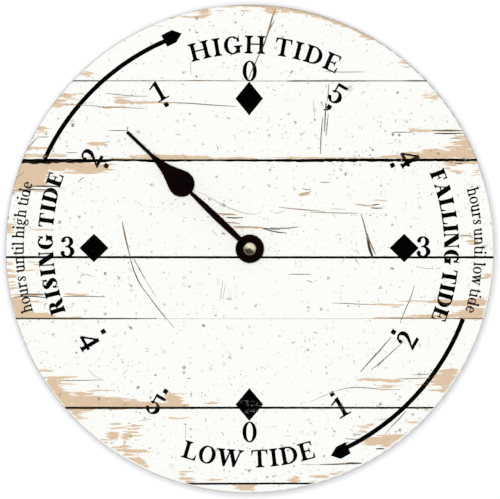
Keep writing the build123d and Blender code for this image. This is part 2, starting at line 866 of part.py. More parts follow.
# Rotor magnet
with BuildPart() as rotor_magnet:
    with BuildSketch(layer((stator_front + stator_rear + rotor_magnet_length) / 2, rotor_place)):
        Circle(rotor_magnet_radius)
        Circle(rotor_arbor_radius, mode=Mode.SUBTRACT)
    extrude(amount=rotor_magnet_length)
rotor_magnet.part.label = "rotor_magnet"
export_step(rotor_magnet.part, "parts/rotor_magnet.step")

# Stator plate: two legs up to the coil's core and a hole round the rotor
with BuildPart() as stator_plate:
    with BuildSketch(layer(stator_rear)):
        with BuildLine():
            Polyline(
                (stator_left, stator_bottom),
                (rotor_place[0] + stator_reach, stator_bottom),
                (rotor_place[0] + stator_reach, stator_top - stator_leg),
                (stator_right, stator_top - stator_leg),
                (stator_right, stator_leg_top),
                (stator_right - stator_leg, stator_leg_top),
                (stator_right - stator_leg, stator_top),
                (stator_left + stator_leg, stator_top),
                (stator_left + stator_leg, stator_leg_top),
                (stator_left, stator_leg_top),
                close=True,
            )
        make_face()
        with Locations(rotor_place):
            Circle(rotor_hole_radius, mode=Mode.SUBTRACT)
            with PolarLocations(rotor_hole_radius, 2, start_angle=45):
                Circle(stator_notch_radius, mode=Mode.SUBTRACT)
        with Locations(stator_peg_places):
            Circle(peg_radius + seat_clearance, mode=Mode.SUBTRACT)
    extrude(amount=stator_thickness)
stator_plate.part.label = "stator_plate"
export_step(stator_plate.part, "parts/stator_plate.step")

# Coil core, laid across the stator's legs
with BuildPart() as coil_core:
    with BuildSketch(layer(core_depth + core_thickness / 2)):
        with Locations(((stator_left + stator_right) / 2, core_height)):
            Rectangle(stator_right - stator_left, core_width)
        with Locations(stator_peg_places[:2]):
            Circle(peg_radius + seat_clearance, mode=Mode.SUBTRACT)
    extrude(amount=core_thickness)
coil_core.part.label = "coil_core"
export_step(coil_core.part, "parts/coil_core.step")

# Coil bobbin: a square tube over the core with a flange at each end
coil_left = stator_left + stator_leg + coil_end_gap
coil_right = stator_right - stator_leg - coil_end_gap
tube_depth = core_thickness + 2 * (seat_clearance + coil_wall)
tube_height = core_width + 2 * (seat_clearance + coil_wall)
with BuildPart() as coil_bobbin:
    with BuildSketch(
        section(coil_left, core_depth, core_height),
        section(coil_right - coil_flange_thickness, core_depth, core_height),
    ):
        RectangleRounded(coil_flange, coil_flange, coil_corner)
    extrude(amount=coil_flange_thickness)
    with BuildSketch(section(coil_left, core_depth, core_height)):
        Rectangle(tube_depth, tube_height)
    extrude(amount=coil_right - coil_left)
    with BuildSketch(section(coil_left, core_depth, core_height)):
        Rectangle(core_thickness + 2 * seat_clearance, core_width + 2 * seat_clearance)
    extrude(amount=coil_right - coil_left, mode=Mode.SUBTRACT)
coil_bobbin.part.label = "coil_bobbin"
export_step(coil_bobbin.part, "parts/coil_bobbin.step")

# Coil winding
with BuildPart() as coil_winding:
    winding_start = coil_left + coil_flange_thickness
    winding_size = coil_flange - 2 * winding_inset
    with BuildSketch(section(winding_start, core_depth, core_height)):
        RectangleRounded(winding_size, winding_size, coil_corner)
        Rectangle(tube_depth, tube_height, mode=Mode.SUBTRACT)
    extrude(amount=coil_right - coil_flange_thickness - winding_start)
coil_winding.part.label = "coil_winding"
export_step(coil_winding.part, "parts/coil_winding.step")

# Circuit board on the tall posts
with BuildPart() as circuit_board:
    with BuildSketch(layer(board_rear)):
        with Locations((0, (board_top + board_bottom) / 2)):
            Rectangle(2 * (inner_half - contact_thickness), board_height)
        with Locations(board_post_places):
            Circle(peg_radius + seat_clearance, mode=Mode.SUBTRACT)
    extrude(amount=board_thickness)
circuit_board.part.label = "circuit_board"
export_step(circuit_board.part, "parts/circuit_board.step")

# Quartz crystal can, lying on the board
with BuildPart() as quartz_crystal:
    crystal_depth = board_rear + crystal_radius
    with BuildSketch(section(crystal_reach, crystal_depth, (board_top + board_bottom) / 2)):
        Circle(crystal_radius)
    extrude(amount=crystal_length)
quartz_crystal.part.label = "quartz_crystal"
export_step(quartz_crystal.part, "parts/quartz_crystal.step")

# Driver chip under its drop of resin
with BuildPart() as driver_chip:
    chip_place = (-chip_reach, (board_top + board_bottom) / 2)
    with BuildSketch(layer(board_rear + chip_height, chip_place)):
        Circle(chip_radius)
    extrude(amount=chip_height)
    fillet(driver_chip.faces().sort_by(Axis.Y)[-1].edges(), radius=chip_edge_round)
driver_chip.part.label = "driver_chip"
export_step(driver_chip.part, "parts/driver_chip.step")


def contact_strip(side, reach):
    """A strip up the case's side wall, bowed out to a reach from the middle in the battery bay."""
    wall_side = side * inner_half
    strip_side = side * (inner_half - contact_thickness)
    bow_side = side * reach
    bow_inner = side * (reach + contact_thickness)
    bow_start = bay_bottom + contact_bow_inset
    bow_end = bay_top - contact_bow_inset
    with BuildPart() as strip:
        with BuildSketch(layer(board_rear)):
            with BuildLine():
                Polyline(
                    (wall_side, bay_bottom + contact_foot),
                    (strip_side, bay_bottom + contact_foot),
                    (strip_side, bow_start),
                    (bow_side, battery_height - contact_tip_width / 2),
                    (bow_side, battery_height + contact_tip_width / 2),
                    (strip_side, bow_end),
                    (strip_side, board_top),
                    (wall_side, board_top),
                    (wall_side, bow_end - contact_thickness),
                    (bow_inner, battery_height + contact_tip_width / 2),
                    (bow_inner, battery_height - contact_tip_width / 2),
                    (wall_side, bow_start + contact_thickness),
                    close=True,
                )
            make_face()
        extrude(amount=2 * (board_rear - battery_depth))
    return strip


# Battery contacts at the bay's two ends
positive_contact = contact_strip(1, battery_length / 2 + contact_gap)
positive_contact.part.label = "positive_contact"
export_step(positive_contact.part, "parts/positive_contact.step")
negative_contact = contact_strip(-1, battery_length / 2 + contact_gap)
negative_contact.part.label = "negative_contact"
export_step(negative_contact.part, "parts/negative_contact.step")

# Battery can and its positive button
with BuildPart() as battery_can:
    with BuildSketch(section(-battery_length / 2, battery_depth, battery_height)):
        Circle(battery_diameter / 2)
    extrude(amount=battery_length - button_height)
    can_edges = battery_can.edges().filter_by(GeomType.CIRCLE)
    fillet(can_edges, radius=battery_edge_round)
battery_can.part.label = "battery_can"
export_step(battery_can.part, "parts/battery_can.step")
with BuildPart() as battery_button:
    button_start = battery_length / 2 - button_height
    with BuildSketch(section(button_start, battery_depth, battery_height)):
        Circle(button_radius)
    extrude(amount=button_height)
battery_button.part.label = "battery_button"
export_step(battery_button.part, "parts/battery_button.step")

# Setting knob: its arbor, a flange that keeps it behind the cover, and a grooved head
with BuildPart() as setting_knob:
    with BuildSketch(layer(case_front_wall + end_play, setting_place)):
        Circle(setting_pivot_radius)
    extrude(amount=pivot_length + end_play)
    flange_rear = cover_front - knob_flange_gap
    with BuildSketch(layer(flange_rear, setting_place)):
        Circle(setting_arbor_radius)
    extrude(amount=flange_rear - case_front_wall - end_play)
    with BuildSketch(layer(flange_rear, setting_place)):
        Circle(knob_flange_radius)
    extrude(amount=knob_flange_thickness)
    with BuildSketch(layer(case_depth - knob_recess, setting_place)):
        Circle(knob_radius)
        with PolarLocations(knob_radius, knob_grooves):
            Circle(knob_groove_radius, mode=Mode.SUBTRACT)
    extrude(amount=case_depth - knob_recess - flange_rear)
    with BuildSketch(layer(case_depth - knob_recess, setting_place)):
        Rectangle(knob_radius, knob_slot_width)
    extrude(amount=knob_slot_depth, mode=Mode.SUBTRACT)
setting_knob.part.label = "setting_knob"
export_step(setting_knob.part, "parts/setting_knob.step")

# Setting pinion, pressed on the knob's arbor
with BuildPart() as setting_pinion:
    pinion_turn = meshed(setting_bearing, motion_teeth, setting_teeth)
    with BuildSketch(layer(motion_front + wheel_thickness, setting_place)):
        with BuildLine():
            Polyline(*tooth_points(setting_teeth, train_module, pinion_turn), close=True)
        make_face()
        Circle(setting_arbor_radius, mode=Mode.SUBTRACT)
    extrude(amount=wheel_thickness)
setting_pinion.part.label = "setting_pinion"
export_step(setting_pinion.part, "parts/setting_pinion.step")
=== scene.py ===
import bpy
import json
import math
import random
from collections import namedtuple
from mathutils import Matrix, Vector
from mathutils.geometry import delaunay_2d_cdt


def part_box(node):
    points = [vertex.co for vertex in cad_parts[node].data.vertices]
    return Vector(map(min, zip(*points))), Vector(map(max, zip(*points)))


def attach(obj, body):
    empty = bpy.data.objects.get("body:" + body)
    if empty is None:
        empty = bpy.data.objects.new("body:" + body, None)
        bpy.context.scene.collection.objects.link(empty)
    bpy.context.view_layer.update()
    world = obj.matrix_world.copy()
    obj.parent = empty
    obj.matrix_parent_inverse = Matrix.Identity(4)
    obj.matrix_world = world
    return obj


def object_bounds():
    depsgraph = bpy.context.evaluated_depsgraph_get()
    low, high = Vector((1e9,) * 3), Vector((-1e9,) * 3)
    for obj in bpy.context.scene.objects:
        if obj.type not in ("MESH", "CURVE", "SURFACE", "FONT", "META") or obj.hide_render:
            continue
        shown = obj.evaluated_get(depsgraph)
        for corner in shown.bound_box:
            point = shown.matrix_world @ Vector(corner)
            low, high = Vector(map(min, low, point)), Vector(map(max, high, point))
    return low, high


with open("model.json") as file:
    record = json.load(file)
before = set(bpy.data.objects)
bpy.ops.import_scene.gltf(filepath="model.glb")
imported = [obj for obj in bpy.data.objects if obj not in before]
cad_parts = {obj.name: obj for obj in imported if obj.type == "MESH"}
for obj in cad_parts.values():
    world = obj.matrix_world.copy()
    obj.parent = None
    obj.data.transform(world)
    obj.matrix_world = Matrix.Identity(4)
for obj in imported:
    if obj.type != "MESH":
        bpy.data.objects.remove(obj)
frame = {"nodes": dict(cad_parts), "record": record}
cad_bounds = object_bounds()

# The dial, which carries the print. The mesh's facets fall a hair short of the round, so its
# middle and its radius are rounded to 0.1 mm
MM = 0.001
DIAL_LOW, DIAL_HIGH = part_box("dial_disc")
DIAL_X = round((DIAL_LOW.x + DIAL_HIGH.x) / 2, 4)
DIAL_Z = (DIAL_LOW.z + DIAL_HIGH.z) / 2
DIAL_FRONT = DIAL_LOW.y
DIAL_CENTRE = (DIAL_X, DIAL_FRONT, DIAL_Z)
DIAL_RADIUS = round((DIAL_HIGH.x - DIAL_LOW.x) / 2, 4)
RIM_ROUND = 1.0 * MM
# The photograph's size, the dial and its print there in pixels, and a pixel's size on the dial
PHOTO_WIDTH = 500
PHOTO_HEIGHT = 499
DIAL_U = 249.8
DIAL_V = 248.8
DIAL_RADIUS_PX = 244.4
PRINT_U = 249.3
PRINT_V = 247.2
PRINT_RADIUS_PX = 243.4
PIXEL = DIAL_RADIUS / DIAL_RADIUS_PX


def on_dial(u, v):
    """Place of a photograph pixel on the dial's face, as (x, z) in metres."""
    return DIAL_X + (u - DIAL_U) * PIXEL, DIAL_Z + (DIAL_V - v) * PIXEL


def at_bearing(radius, bearing):
    """Pixel at a radius from the print's centre, at degrees clockwise from twelve."""
    turn = math.radians(bearing)
    return PRINT_U + radius * math.sin(turn), PRINT_V - radius * math.cos(turn)


def face_level(x, z):
    """Depth of the dial's front at a place, flat and then round at the rim."""
    over = math.hypot(x - DIAL_X, z - DIAL_Z) - (DIAL_RADIUS - RIM_ROUND)
    if over <= 0:
        return DIAL_FRONT
    return DIAL_FRONT + RIM_ROUND - math.sqrt(max(RIM_ROUND**2 - over**2, 0))


def add_object(name, data):
    """An object for a mesh, lamp or camera, linked to the scene."""
    made = bpy.data.objects.new(name, data)
    bpy.context.scene.collection.objects.link(made)
    return made


# Camera, straight in front of the dial
CAMERA_DISTANCE = 2.4
VIEW_END = 50
camera_data = bpy.data.cameras.new("camera")
camera = add_object("camera", camera_data)
bpy.context.scene.camera = camera
camera_x, camera_z = on_dial(PHOTO_WIDTH / 2, PHOTO_HEIGHT / 2)
camera.location = (camera_x, DIAL_FRONT - CAMERA_DISTANCE, camera_z)
camera.rotation_euler = (math.pi / 2, 0, 0)
camera_data.lens = camera_data.sensor_width * CAMERA_DISTANCE / (PHOTO_WIDTH * PIXEL)
camera_data.clip_end = VIEW_END


# Node helpers. A value is a socket to link or a plain value to set
def put(tree, value, socket):
    if isinstance(value, bpy.types.NodeSocket):
        tree.links.new(value, socket)
    else:
        socket.default_value = value


def node(tree, kind, *inputs, out=0, named=None, **settings):
    """Adds a node, fills its inputs in order and by name, and returns one output."""
    made = tree.nodes.new(kind)
    for key, value in settings.items():
        setattr(made, key, value)
    for key, value in [*enumerate(inputs), *(named or {}).items()]:
        put(tree, value, made.inputs[key])
    return made.outputs[out]


def math_helper(operation):
    """A function that adds one kind of Math node."""

    def made(tree, *inputs):
        return node(tree, "ShaderNodeMath", *inputs, operation=operation)

    return made


plus, minus = math_helper("ADD"), math_helper("SUBTRACT")
times, times_plus = math_helper("MULTIPLY"), math_helper("MULTIPLY_ADD")
least, most = math_helper("MINIMUM"), math_helper("MAXIMUM")
below, above = math_helper("LESS_THAN"), math_helper("GREATER_THAN")
distance_to, sine = math_helper("ABSOLUTE"), math_helper("SINE")
power_of, compare = math_helper("POWER"), math_helper("COMPARE")


def vector_node(tree, operation, *inputs, out=0):
    return node(tree, "ShaderNodeVectorMath", *inputs, operation=operation, out=out)


def place_of(tree):
    """The point's place in the row frame, in metres."""
    return node(tree, "ShaderNodeTexCoord", out=3)


def split(tree, vector):
    """The three parts of a vector."""
    return [node(tree, "ShaderNodeSeparateXYZ", vector, out=i) for i in range(3)]


def noise(tree, vector, detail=4.0, rough=0.55, warp=0.0):
    named = {"Scale": 1.0, "Detail": detail, "Roughness": rough, "Distortion": warp}
    return node(tree, "ShaderNodeTexNoise", vector, named=named)


def grain(tree, cycles, *kind):
    """Noise with a number of cycles to a metre along x, y and z."""
    return noise(tree, vector_node(tree, "MULTIPLY", place_of(tree), cycles), *kind)


def between(tree, value, low, high, to_low=0.0, to_high=1.0):
    """Value mapped from low..high to to_low..to_high and held there."""
    return node(tree, "ShaderNodeMapRange", value, low, high, to_low, to_high, clamp=True)


def rgb(red, green, blue):
    """Shader colour for a colour given as it looks on screen, 0 to 255."""
    shares = [c / 255 for c in (red, green, blue)]
    return (*[s / 12.92 if s <= 0.04045 else ((s + 0.055) / 1.055) ** 2.4 for s in shares], 1.0)


def mix(tree, share, *colours):
    """Colour between two others, each a socket or a colour as it looks on screen."""
    made = tree.nodes.new("ShaderNodeMix")
    made.data_type = "RGBA"
    put(tree, share, made.inputs[0])
    sockets = [s for s in made.inputs if s.type == "RGBA"]
    for socket, colour in zip(sockets, colours):
        put(tree, rgb(*colour) if isinstance(colour, tuple) else colour, socket)
    return [s for s in made.outputs if s.type == "RGBA"][0]


def bump(tree, height, distance, strength=1.0):
    named = {"Strength": strength, "Distance": distance, "Height": height}
    return node(tree, "ShaderNodeBump", named=named)


def material(name):
    """A new node material and its tree."""
    made = bpy.data.materials.new(name)
    made.use_nodes = True
    return made, made.node_tree


def finished(made, **sockets):
    """The material, with the inputs of its Principled shader filled by name."""
    shader = made.node_tree.nodes["Principled BSDF"]
    for name, value in sockets.items():
        put(made.node_tree, value, shader.inputs[name.replace("_", " ")])
    return made


# Tan wear of the painted planks. Each plank has its top and bottom joint and its worn patches
# as (u, v, half width, half height) in pixels, and a share below 0.55 where the wear is thin
SOLID = 0.55
PLANK_WEAR = [
    (-10, 80.8, [
        (158, 26, 8, 0.8, 0.2), (170, 18.5, 7, 0.8), (190, 16.6, 9, 1.5), (205.5, 12.5, 4.5, 4.2),
        (201, 16.5, 8, 1.8), (196, 11, 8, 0.7), (217, 11, 6, 0.7), (247, 10.5, 6, 0.7, 0.2),
        (271, 11.5, 7, 3.4), (284, 11, 6, 1.5), (337, 21.5, 7, 3), (345, 25.5, 7, 1.5),
        (357, 30.5, 6, 0.9), (367, 36.5, 5, 2.4), (371, 39.5, 4, 1.2), (86, 73.3, 6, 1.3, 0.2),
        (85, 75.8, 6, 1, 0.2), (403, 62.5, 7, 1.5, 0.15), (404, 66.5, 6, 1, 0.15),
    ]),
    (80.8, 160.2, [
        (66, 95.5, 9, 2.5), (80, 94.3, 7, 0.8, 0.3), (58, 101, 7, 1.8), (71, 99, 9, 0.7, 0.3),
        (56, 104.5, 6, 2.6, 0.35), (64, 104.6, 17, 1.2, 0.35), (121, 97.4, 9, 0.9, 0.3),
        (122, 101.6, 9, 2.2), (140, 102.8, 27, 1.1), (112, 107.2, 16, 0.9, 0.3), (43, 128.3, 6, 1.7),
        (41, 131.8, 6, 1.5, 0.35), (95, 143.4, 11, 1.1), (97, 144.2, 8, 1.5), (38, 148, 11, 1.2, 0.35),
        (27, 149, 5, 2), (34, 155.8, 15, 2.4, 0.15), (57, 155.2, 10, 1.5, 0.35), (92, 156.6, 14, 1, 0.25),
        (120, 158.6, 12, 0.9), (170, 157.6, 44, 2.4), (150, 155.6, 22, 1.2, 0.35), (225, 158.4, 30, 1.2),
        (320, 158, 60, 0.8, 0.3), (431, 95.5, 8, 2.6, 0.12), (435, 98.5, 6, 1.8, 0.12),
        (436, 92, 4, 1, 0.12), (424, 130.9, 13, 1.6), (412, 130.5, 4, 2), (450, 130.6, 15, 1, 0.3),
        (415, 127.8, 8, 0.8, 0.2), (461, 137, 7, 1.8, 0.35), (469, 137, 4, 3), (467, 144, 7, 6),
        (458, 143, 7, 1.8), (455, 147.3, 11, 1.5), (463, 153.5, 18, 6), (442, 154.5, 27, 4.6),
        (436, 150.5, 12, 1.5), (408, 156.8, 34, 2), (412, 153, 10, 1, 0.3),
    ]),
    (160.2, 257.2, [
        (60, 166, 50, 4.4), (93, 169.6, 18, 3.2), (84, 172.8, 20, 1.4, 0.4), (28, 174, 22, 13),
        (20, 184, 18, 5), (38, 184, 10, 2.5), (18, 191.3, 7, 1.8), (44, 190.8, 16, 0.8, 0.3),
        (110, 170.8, 8, 0.8, 0.2), (10, 228, 4.5, 3.6), (12, 224, 3, 1.4, 0.2), (10, 232.5, 4, 1.2, 0.3),
        (36, 229.6, 20, 0.6, 0.25), (460, 162.8, 19, 1.6), (474, 162.5, 5, 2.4), (451, 165, 8, 1, 0.3),
        (455, 170.6, 9, 0.9, 0.35), (460, 172.8, 5, 0.9, 0.35), (447, 168.6, 4, 1, 0.2),
        (478, 172, 4, 3, 0.1), (466, 235.8, 8, 0.8, 0.3), (470, 241, 7, 1.5, 0.35),
        (476, 243.5, 4, 1.2, 0.3), (226, 214, 10, 0.9, 0.12),
        (234, 222.8, 7, 0.9, 0.12), (248, 227.6, 14, 1.2, 0.15),
        (303, 194.5, 6, 1.6, 0.3), (365, 205.5, 6, 1.2, 0.3), (381, 200.8, 5, 1, 0.3),
    ]),
    (257.2, 318.6, [
        (8, 263, 4, 2, 0.3), (8, 270.6, 7, 2, 0.45), (11, 276.3, 7, 2), (12, 282, 6, 0.8, 0.3),
        (12, 285, 6, 0.8, 0.3), (12, 288.6, 7, 1.2), (36, 263.5, 5, 2, 0.08), (24, 270.5, 16, 0.7, 0.25),
        (28, 294.4, 18, 1.2, 0.45), (76, 294.6, 14, 1.4, 0.5), (16, 300, 9, 4), (20, 308, 10, 7),
        (24, 315, 15, 4.5), (38, 316, 18, 3.2), (60, 317.6, 24, 1.4), (28, 301.5, 12, 0.7, 0.3),
        (488, 275, 4, 2.2, 0.3), (484, 278, 6, 1.2, 0.3), (388, 304.8, 14, 1.4), (394, 307, 5, 0.6, 0.3),
        (418, 301, 20, 0.9, 0.45), (440, 301.3, 22, 1.8), (470, 303.4, 26, 3.4), (478, 300, 9, 1.4),
        (474, 309, 14, 1.5, 0.4), (472, 314, 20, 4.4), (450, 316, 36, 1.7), (410, 317.5, 36, 0.8, 0.4),
        (434, 297.4, 5, 0.6, 0.2),
    ]),
    (318.6, 407.5, [
        (45, 371.3, 7, 1.1, 0.4), (60, 377.6, 17, 1.5), (52, 384, 9, 6), (57, 392, 6, 8), (62, 399, 8, 9),
        (66, 383.6, 8, 0.9, 0.4), (63, 380.8, 9, 0.7, 0.3), (72, 393, 12, 0.9, 0.3),
        (84, 394.2, 10, 1.2, 0.4), (104, 390.3, 10, 1, 0.45), (95, 391.4, 8, 0.5, 0.3),
        (90, 402, 42, 6.6), (110, 404, 40, 5), (150, 406, 40, 3.4), (173, 400.5, 10, 7),
        (176, 406, 12, 3), (174, 393.7, 10, 0.7, 0.4), (212, 403.3, 6, 1.1, 0.4), (450, 372, 12, 3.6),
        (445, 377.5, 13, 4.2), (441, 382.3, 13, 3), (447, 386.5, 6, 2), (440, 389.5, 12, 1.4, 0.45),
        (446, 391, 5, 1.2), (376, 380, 18, 1.3, 0.45), (391, 380.6, 9, 1.9), (386, 387, 8, 1.8, 0.15),
        (394, 385.2, 8, 0.7, 0.25), (420, 374.6, 9, 0.5, 0.2), (424, 385, 8, 0.8, 0.3),
    ]),
    (407.5, 483.7, [
        (78, 410, 16, 1.8), (76, 413.5, 6, 2.6), (81, 418, 6, 1.4), (100, 409, 24, 0.7, 0.4),
        (145, 419.8, 3, 1.2, 0.3), (171, 417.8, 5, 0.9), (184, 418.1, 9, 0.6, 0.4), (117, 424, 6, 1.5),
        (118, 428, 7, 0.9, 0.35), (134, 426, 7, 1.1), (134, 428.4, 8, 0.8), (127, 432, 7, 0.8),
        (126, 436.5, 4.5, 3.8), (113, 436, 6, 3.8), (135, 436, 6, 0.8, 0.4), (104, 440, 5, 1, 0.2),
        (107, 442.6, 4, 1.2), (125, 446, 6, 1.4), (115, 447, 7, 1.2, 0.4), (122, 450, 6, 1.6),
        (136, 451.2, 17, 1.8), (130, 455, 9, 1.2, 0.45), (133, 459.6, 10, 2.8), (139, 463, 8, 3),
        (144, 466.4, 5, 2), (186, 471.6, 6, 0.9), (182.5, 474, 2.5, 1.6, 0.4), (186, 479, 7, 1.6),
        (190, 481.5, 5, 1.2), (214, 479.4, 6, 0.8, 0.4), (429, 410.6, 4, 1.4, 0.3),
        (382, 419.5, 7, 1, 0.3), (413, 422, 6, 1.1, 0.3), (371, 424.6, 6, 1.2, 0.25),
        (364, 427.4, 4, 1.6, 0.25), (362, 431.6, 5, 1, 0.3), (391, 437, 15, 3.2), (382, 440.4, 18, 4),
        (372, 442.8, 10, 3), (388, 445, 8, 2.6), (352, 462.8, 7, 1, 0.35), (294, 479, 4.5, 3.4),
        (290, 481.5, 3, 2, 0.3), (322, 476.8, 10, 1.3), (334, 474, 9, 1.4), (342, 471.8, 6, 1, 0.4),
        (316, 481.4, 6, 0.8, 0.3),
    ]),
    (483.7, 510, [(246, 488.5, 10.5, 3), (246, 485, 12, 1.4)]),
]
# Wear along the top of the rim in pixels: its middle, half its width, how far inside the print's
# edge it starts and is full, and the squared distance that counts for each of the two
RIM_WEAR_U = 296
RIM_WEAR_HALF = 82
RIM_WEAR_INNER = 8.5
RIM_WEAR_OUTER = 2.0
RIM_WEAR_SQUARES = (2.6, 0.15)
# Grain of the wear, as noise cycles to a photograph pixel along and across the planks
WEAR_RAGGED = (0.075, 0.85)
WEAR_SMEAR = (0.03, 0.7)
WEAR_DRIFT = (0.045, 0.22)
SMEAR_PX = 26
DRIFT_PX = 5
RAGGED_SHARE = 3.0
# Depth inside a patch where the paint starts to go and is gone, and a depth far from any patch
WORN_RANGE = (-0.03, 0.08)
FAR = 9.0
# The print fades out over this range round its edge, in pixels
PRINT_FADE = (-0.4, 0.3)


def wear_group():
    """Node group: how worn a point of the dial's face is, and the grain of the wear."""
    tree = bpy.data.node_groups.new("plank_wear", "ShaderNodeTree")
    for output in ("Wear", "Grain"):
        tree.interface.new_socket(output, in_out="OUTPUT", socket_type="NodeSocketFloat")
    flat = vector_node(tree, "SUBTRACT", place_of(tree), (DIAL_X, 0, DIAL_Z))
    place = vector_node(tree, "MULTIPLY", flat, (1 / PIXEL, 0, 1 / PIXEL))
    across, _, height = split(tree, place)

    def grain_of(cycles, *kind):
        return noise(tree, vector_node(tree, "MULTIPLY", place, (cycles[0], 0, cycles[1])), *kind)

    def moved(cycles, distance):
        return times(tree, minus(tree, grain_of(cycles, 2.0, 0.6), 0.5), distance)

    shift = node(tree, "ShaderNodeCombineXYZ", moved(WEAR_SMEAR, SMEAR_PX), 0.0, moved(WEAR_DRIFT, DRIFT_PX))
    smeared = vector_node(tree, "ADD", place, shift)
    nearest = FAR
    for top, bottom, patches in PLANK_WEAR:
        half_plank = (bottom - top) / 2
        inside = compare(tree, height, DIAL_V - top - half_plank, half_plank)
        in_plank = FAR
        for u, v, half_u, half_v, *share in patches:
            scale = (1 / half_u, 0, 1 / half_v)
            offset = ((DIAL_U - u) / half_u, 0, (v - DIAL_V) / half_v)
            local = vector_node(tree, "MULTIPLY_ADD", smeared, scale, offset)
            square = vector_node(tree, "DOT_PRODUCT", local, local, out=1)
            if share:
                square = most(tree, square, 1 - share[0])
            in_plank = least(tree, square, in_plank)
        nearest = least(tree, nearest, plus(tree, in_plank, times_plus(tree, inside, -FAR, FAR)))
    from_print = vector_node(tree, "SUBTRACT", place, (PRINT_U - DIAL_U, 0, DIAL_V - PRINT_V))
    radius = vector_node(tree, "LENGTH", from_print, out=1)
    reach = (PRINT_RADIUS_PX - RIM_WEAR_INNER, PRINT_RADIUS_PX - RIM_WEAR_OUTER)
    along_rim = times_plus(tree, across, 1 / RIM_WEAR_HALF, (DIAL_U - RIM_WEAR_U) / RIM_WEAR_HALF)
    rim = plus(tree, between(tree, radius, *reach, *RIM_WEAR_SQUARES), times(tree, along_rim, along_rim))
    lower_half = times(tree, below(tree, height, 0.0), FAR)
    nearest = least(tree, nearest, plus(tree, rim, lower_half))
    ragged_grain = grain_of(WEAR_RAGGED, 3.0, 0.6, 0.2)
    ragged = times(tree, minus(tree, ragged_grain, 0.5), RAGGED_SHARE)
    depth = least(tree, minus(tree, 1.0, nearest), SOLID)
    worn = between(tree, plus(tree, depth, ragged), *WORN_RANGE)
    fade = [PRINT_RADIUS_PX + distance for distance in PRINT_FADE]
    result = tree.nodes.new("NodeGroupOutput")
    put(tree, times(tree, worn, between(tree, radius, *fade, 1.0, 0.0)), result.inputs["Wear"])
    put(tree, ragged_grain, result.inputs["Grain"])
    return tree


WEAR = wear_group()


def wear(tree, output):
    """The wear group's output in a material."""
    made = tree.nodes.new("ShaderNodeGroup")
    made.node_tree = WEAR
    return made.outputs[output]


def specks(tree, spacing_mm, largest_mm, power, seed):
    """Irregular specks, one to a cell, of unlike sizes."""
    cells = 1 / (spacing_mm * MM)
    place = vector_node(tree, "MULTIPLY_ADD", place_of(tree), (cells, 0, cells), (seed, 0, seed))
    cell = node(tree, "ShaderNodeTexVoronoi", named={"Vector": place, "Scale": 1.0}).node.outputs
    pick, other_pick = [node(tree, "ShaderNodeSeparateColor", cell["Color"], out=i) for i in (0, 1)]
    radius = times(tree, power_of(tree, pick, power), largest_mm / spacing_mm)
    shape = between(tree, grain(tree, (1900, 0, 1900), 3.0, 0.6), 0.35, 0.65, 0.1, 1.9)
    gap = minus(tree, times(tree, radius, shape), cell["Distance"])
    strength = between(tree, other_pick, 0.0, 1.0, 0.25, 1.0)
    return times(tree, between(tree, gap, 0.0, 0.05 / spacing_mm), strength)


# Where the painted shade line on the rounded rim, the side and the bare back start, in depth from the dial's
# front and back
RIM_SHADE_DEPTHS = (0.35 * MM, 0.5 * MM)
SIDE_DEPTHS = (RIM_ROUND, RIM_ROUND + 0.1 * MM)
BACK_DEPTHS = (-0.7 * MM, -0.6 * MM)


def painted_planks(tree, brushed):
    """White paint, worn to tan wood in patches, with chips, dots and dust."""
    paint = mix(tree, grain(tree, (12, 0, 90), 3.0), (251, 252, 248), (249, 250, 246))
    paint = mix(tree, between(tree, brushed, 0.58, 0.8, 0, 0.3), paint, (238, 238, 231))
    warmth = grain(tree, (17, 0, 26), 2.0)
    paint = mix(tree, between(tree, warmth, 0.5, 0.7, 0, 0.4), paint, (251, 248, 240))
    tan = mix(tree, between(tree, wear(tree, "Grain"), 0.35, 0.65), (224, 197, 166), (219, 194, 164))
    streaks = grain(tree, (90, 0, 2600), 4.0, 0.6)
    tan = mix(tree, between(tree, streaks, 0.55, 0.75, 0, 0.4), tan, (196, 164, 128))
    face = mix(tree, wear(tree, "Wear"), paint, tan)
    thick = between(tree, grain(tree, (28, 0, 28), 2.0), 0.35, 0.62, 0.35, 1.0)
    face = mix(tree, times(tree, specks(tree, 13.0, 1.7, 3.0, 3.0), 0.5), face, (168, 167, 164))
    face = mix(tree, times(tree, specks(tree, 3.4, 0.85, 2.0, 11.0), thick), face, (112, 109, 104))
    return mix(tree, times(tree, specks(tree, 1.9, 0.5, 1.5, 29.0), thick), face, (164, 162, 156))


def printed_board(name):
    """The dial: printed face, a painted shade line on the rounded rim, painted edge and bare fibreboard at
    the back.
    """
    made, tree = material(name)
    brushed = grain(tree, (60, 0, 1400), 4.0, 0.7)
    face = painted_planks(tree, brushed)
    edge = mix(tree, grain(tree, (900, 300, 900)), (242, 241, 236), (226, 225, 219))
    fibre = grain(tree, (700, 700, 700), 6.0, 0.7, 1.5)
    board = mix(tree, between(tree, fibre, 0.3, 0.7), (146, 110, 76), (178, 141, 102))
    flecks = grain(tree, (260, 260, 1900), 3.0, 0.6)
    board = mix(tree, between(tree, flecks, 0.6, 0.75), board, (106, 76, 50))
    depth = split(tree, place_of(tree))[1]
    painted_rim_shade = between(tree, depth, *[DIAL_FRONT + start for start in RIM_SHADE_DEPTHS])
    on_side = between(tree, depth, *[DIAL_FRONT + start for start in SIDE_DEPTHS])
    at_back = between(tree, depth, *[DIAL_HIGH.y + start for start in BACK_DEPTHS])
    # Painted shade: the rounded rim is coloured a darker lilac grey than the face, a thin shaded line at the
    # edge
    front = mix(tree, on_side, mix(tree, painted_rim_shade, face, (220, 219, 223)), edge)
    height = plus(tree, times(tree, brushed, 0.3), times(tree, fibre, at_back))
    return finished(
        made,
        Base_Color=mix(tree, at_back, front, board),
        Roughness=between(tree, grain(tree, (150, 150, 150)), 0.2, 0.8, 0.42, 0.58),
        Normal=bump(tree, height, 0.05 * MM, 0.3),
        Specular_IOR_Level=0.25,
    )


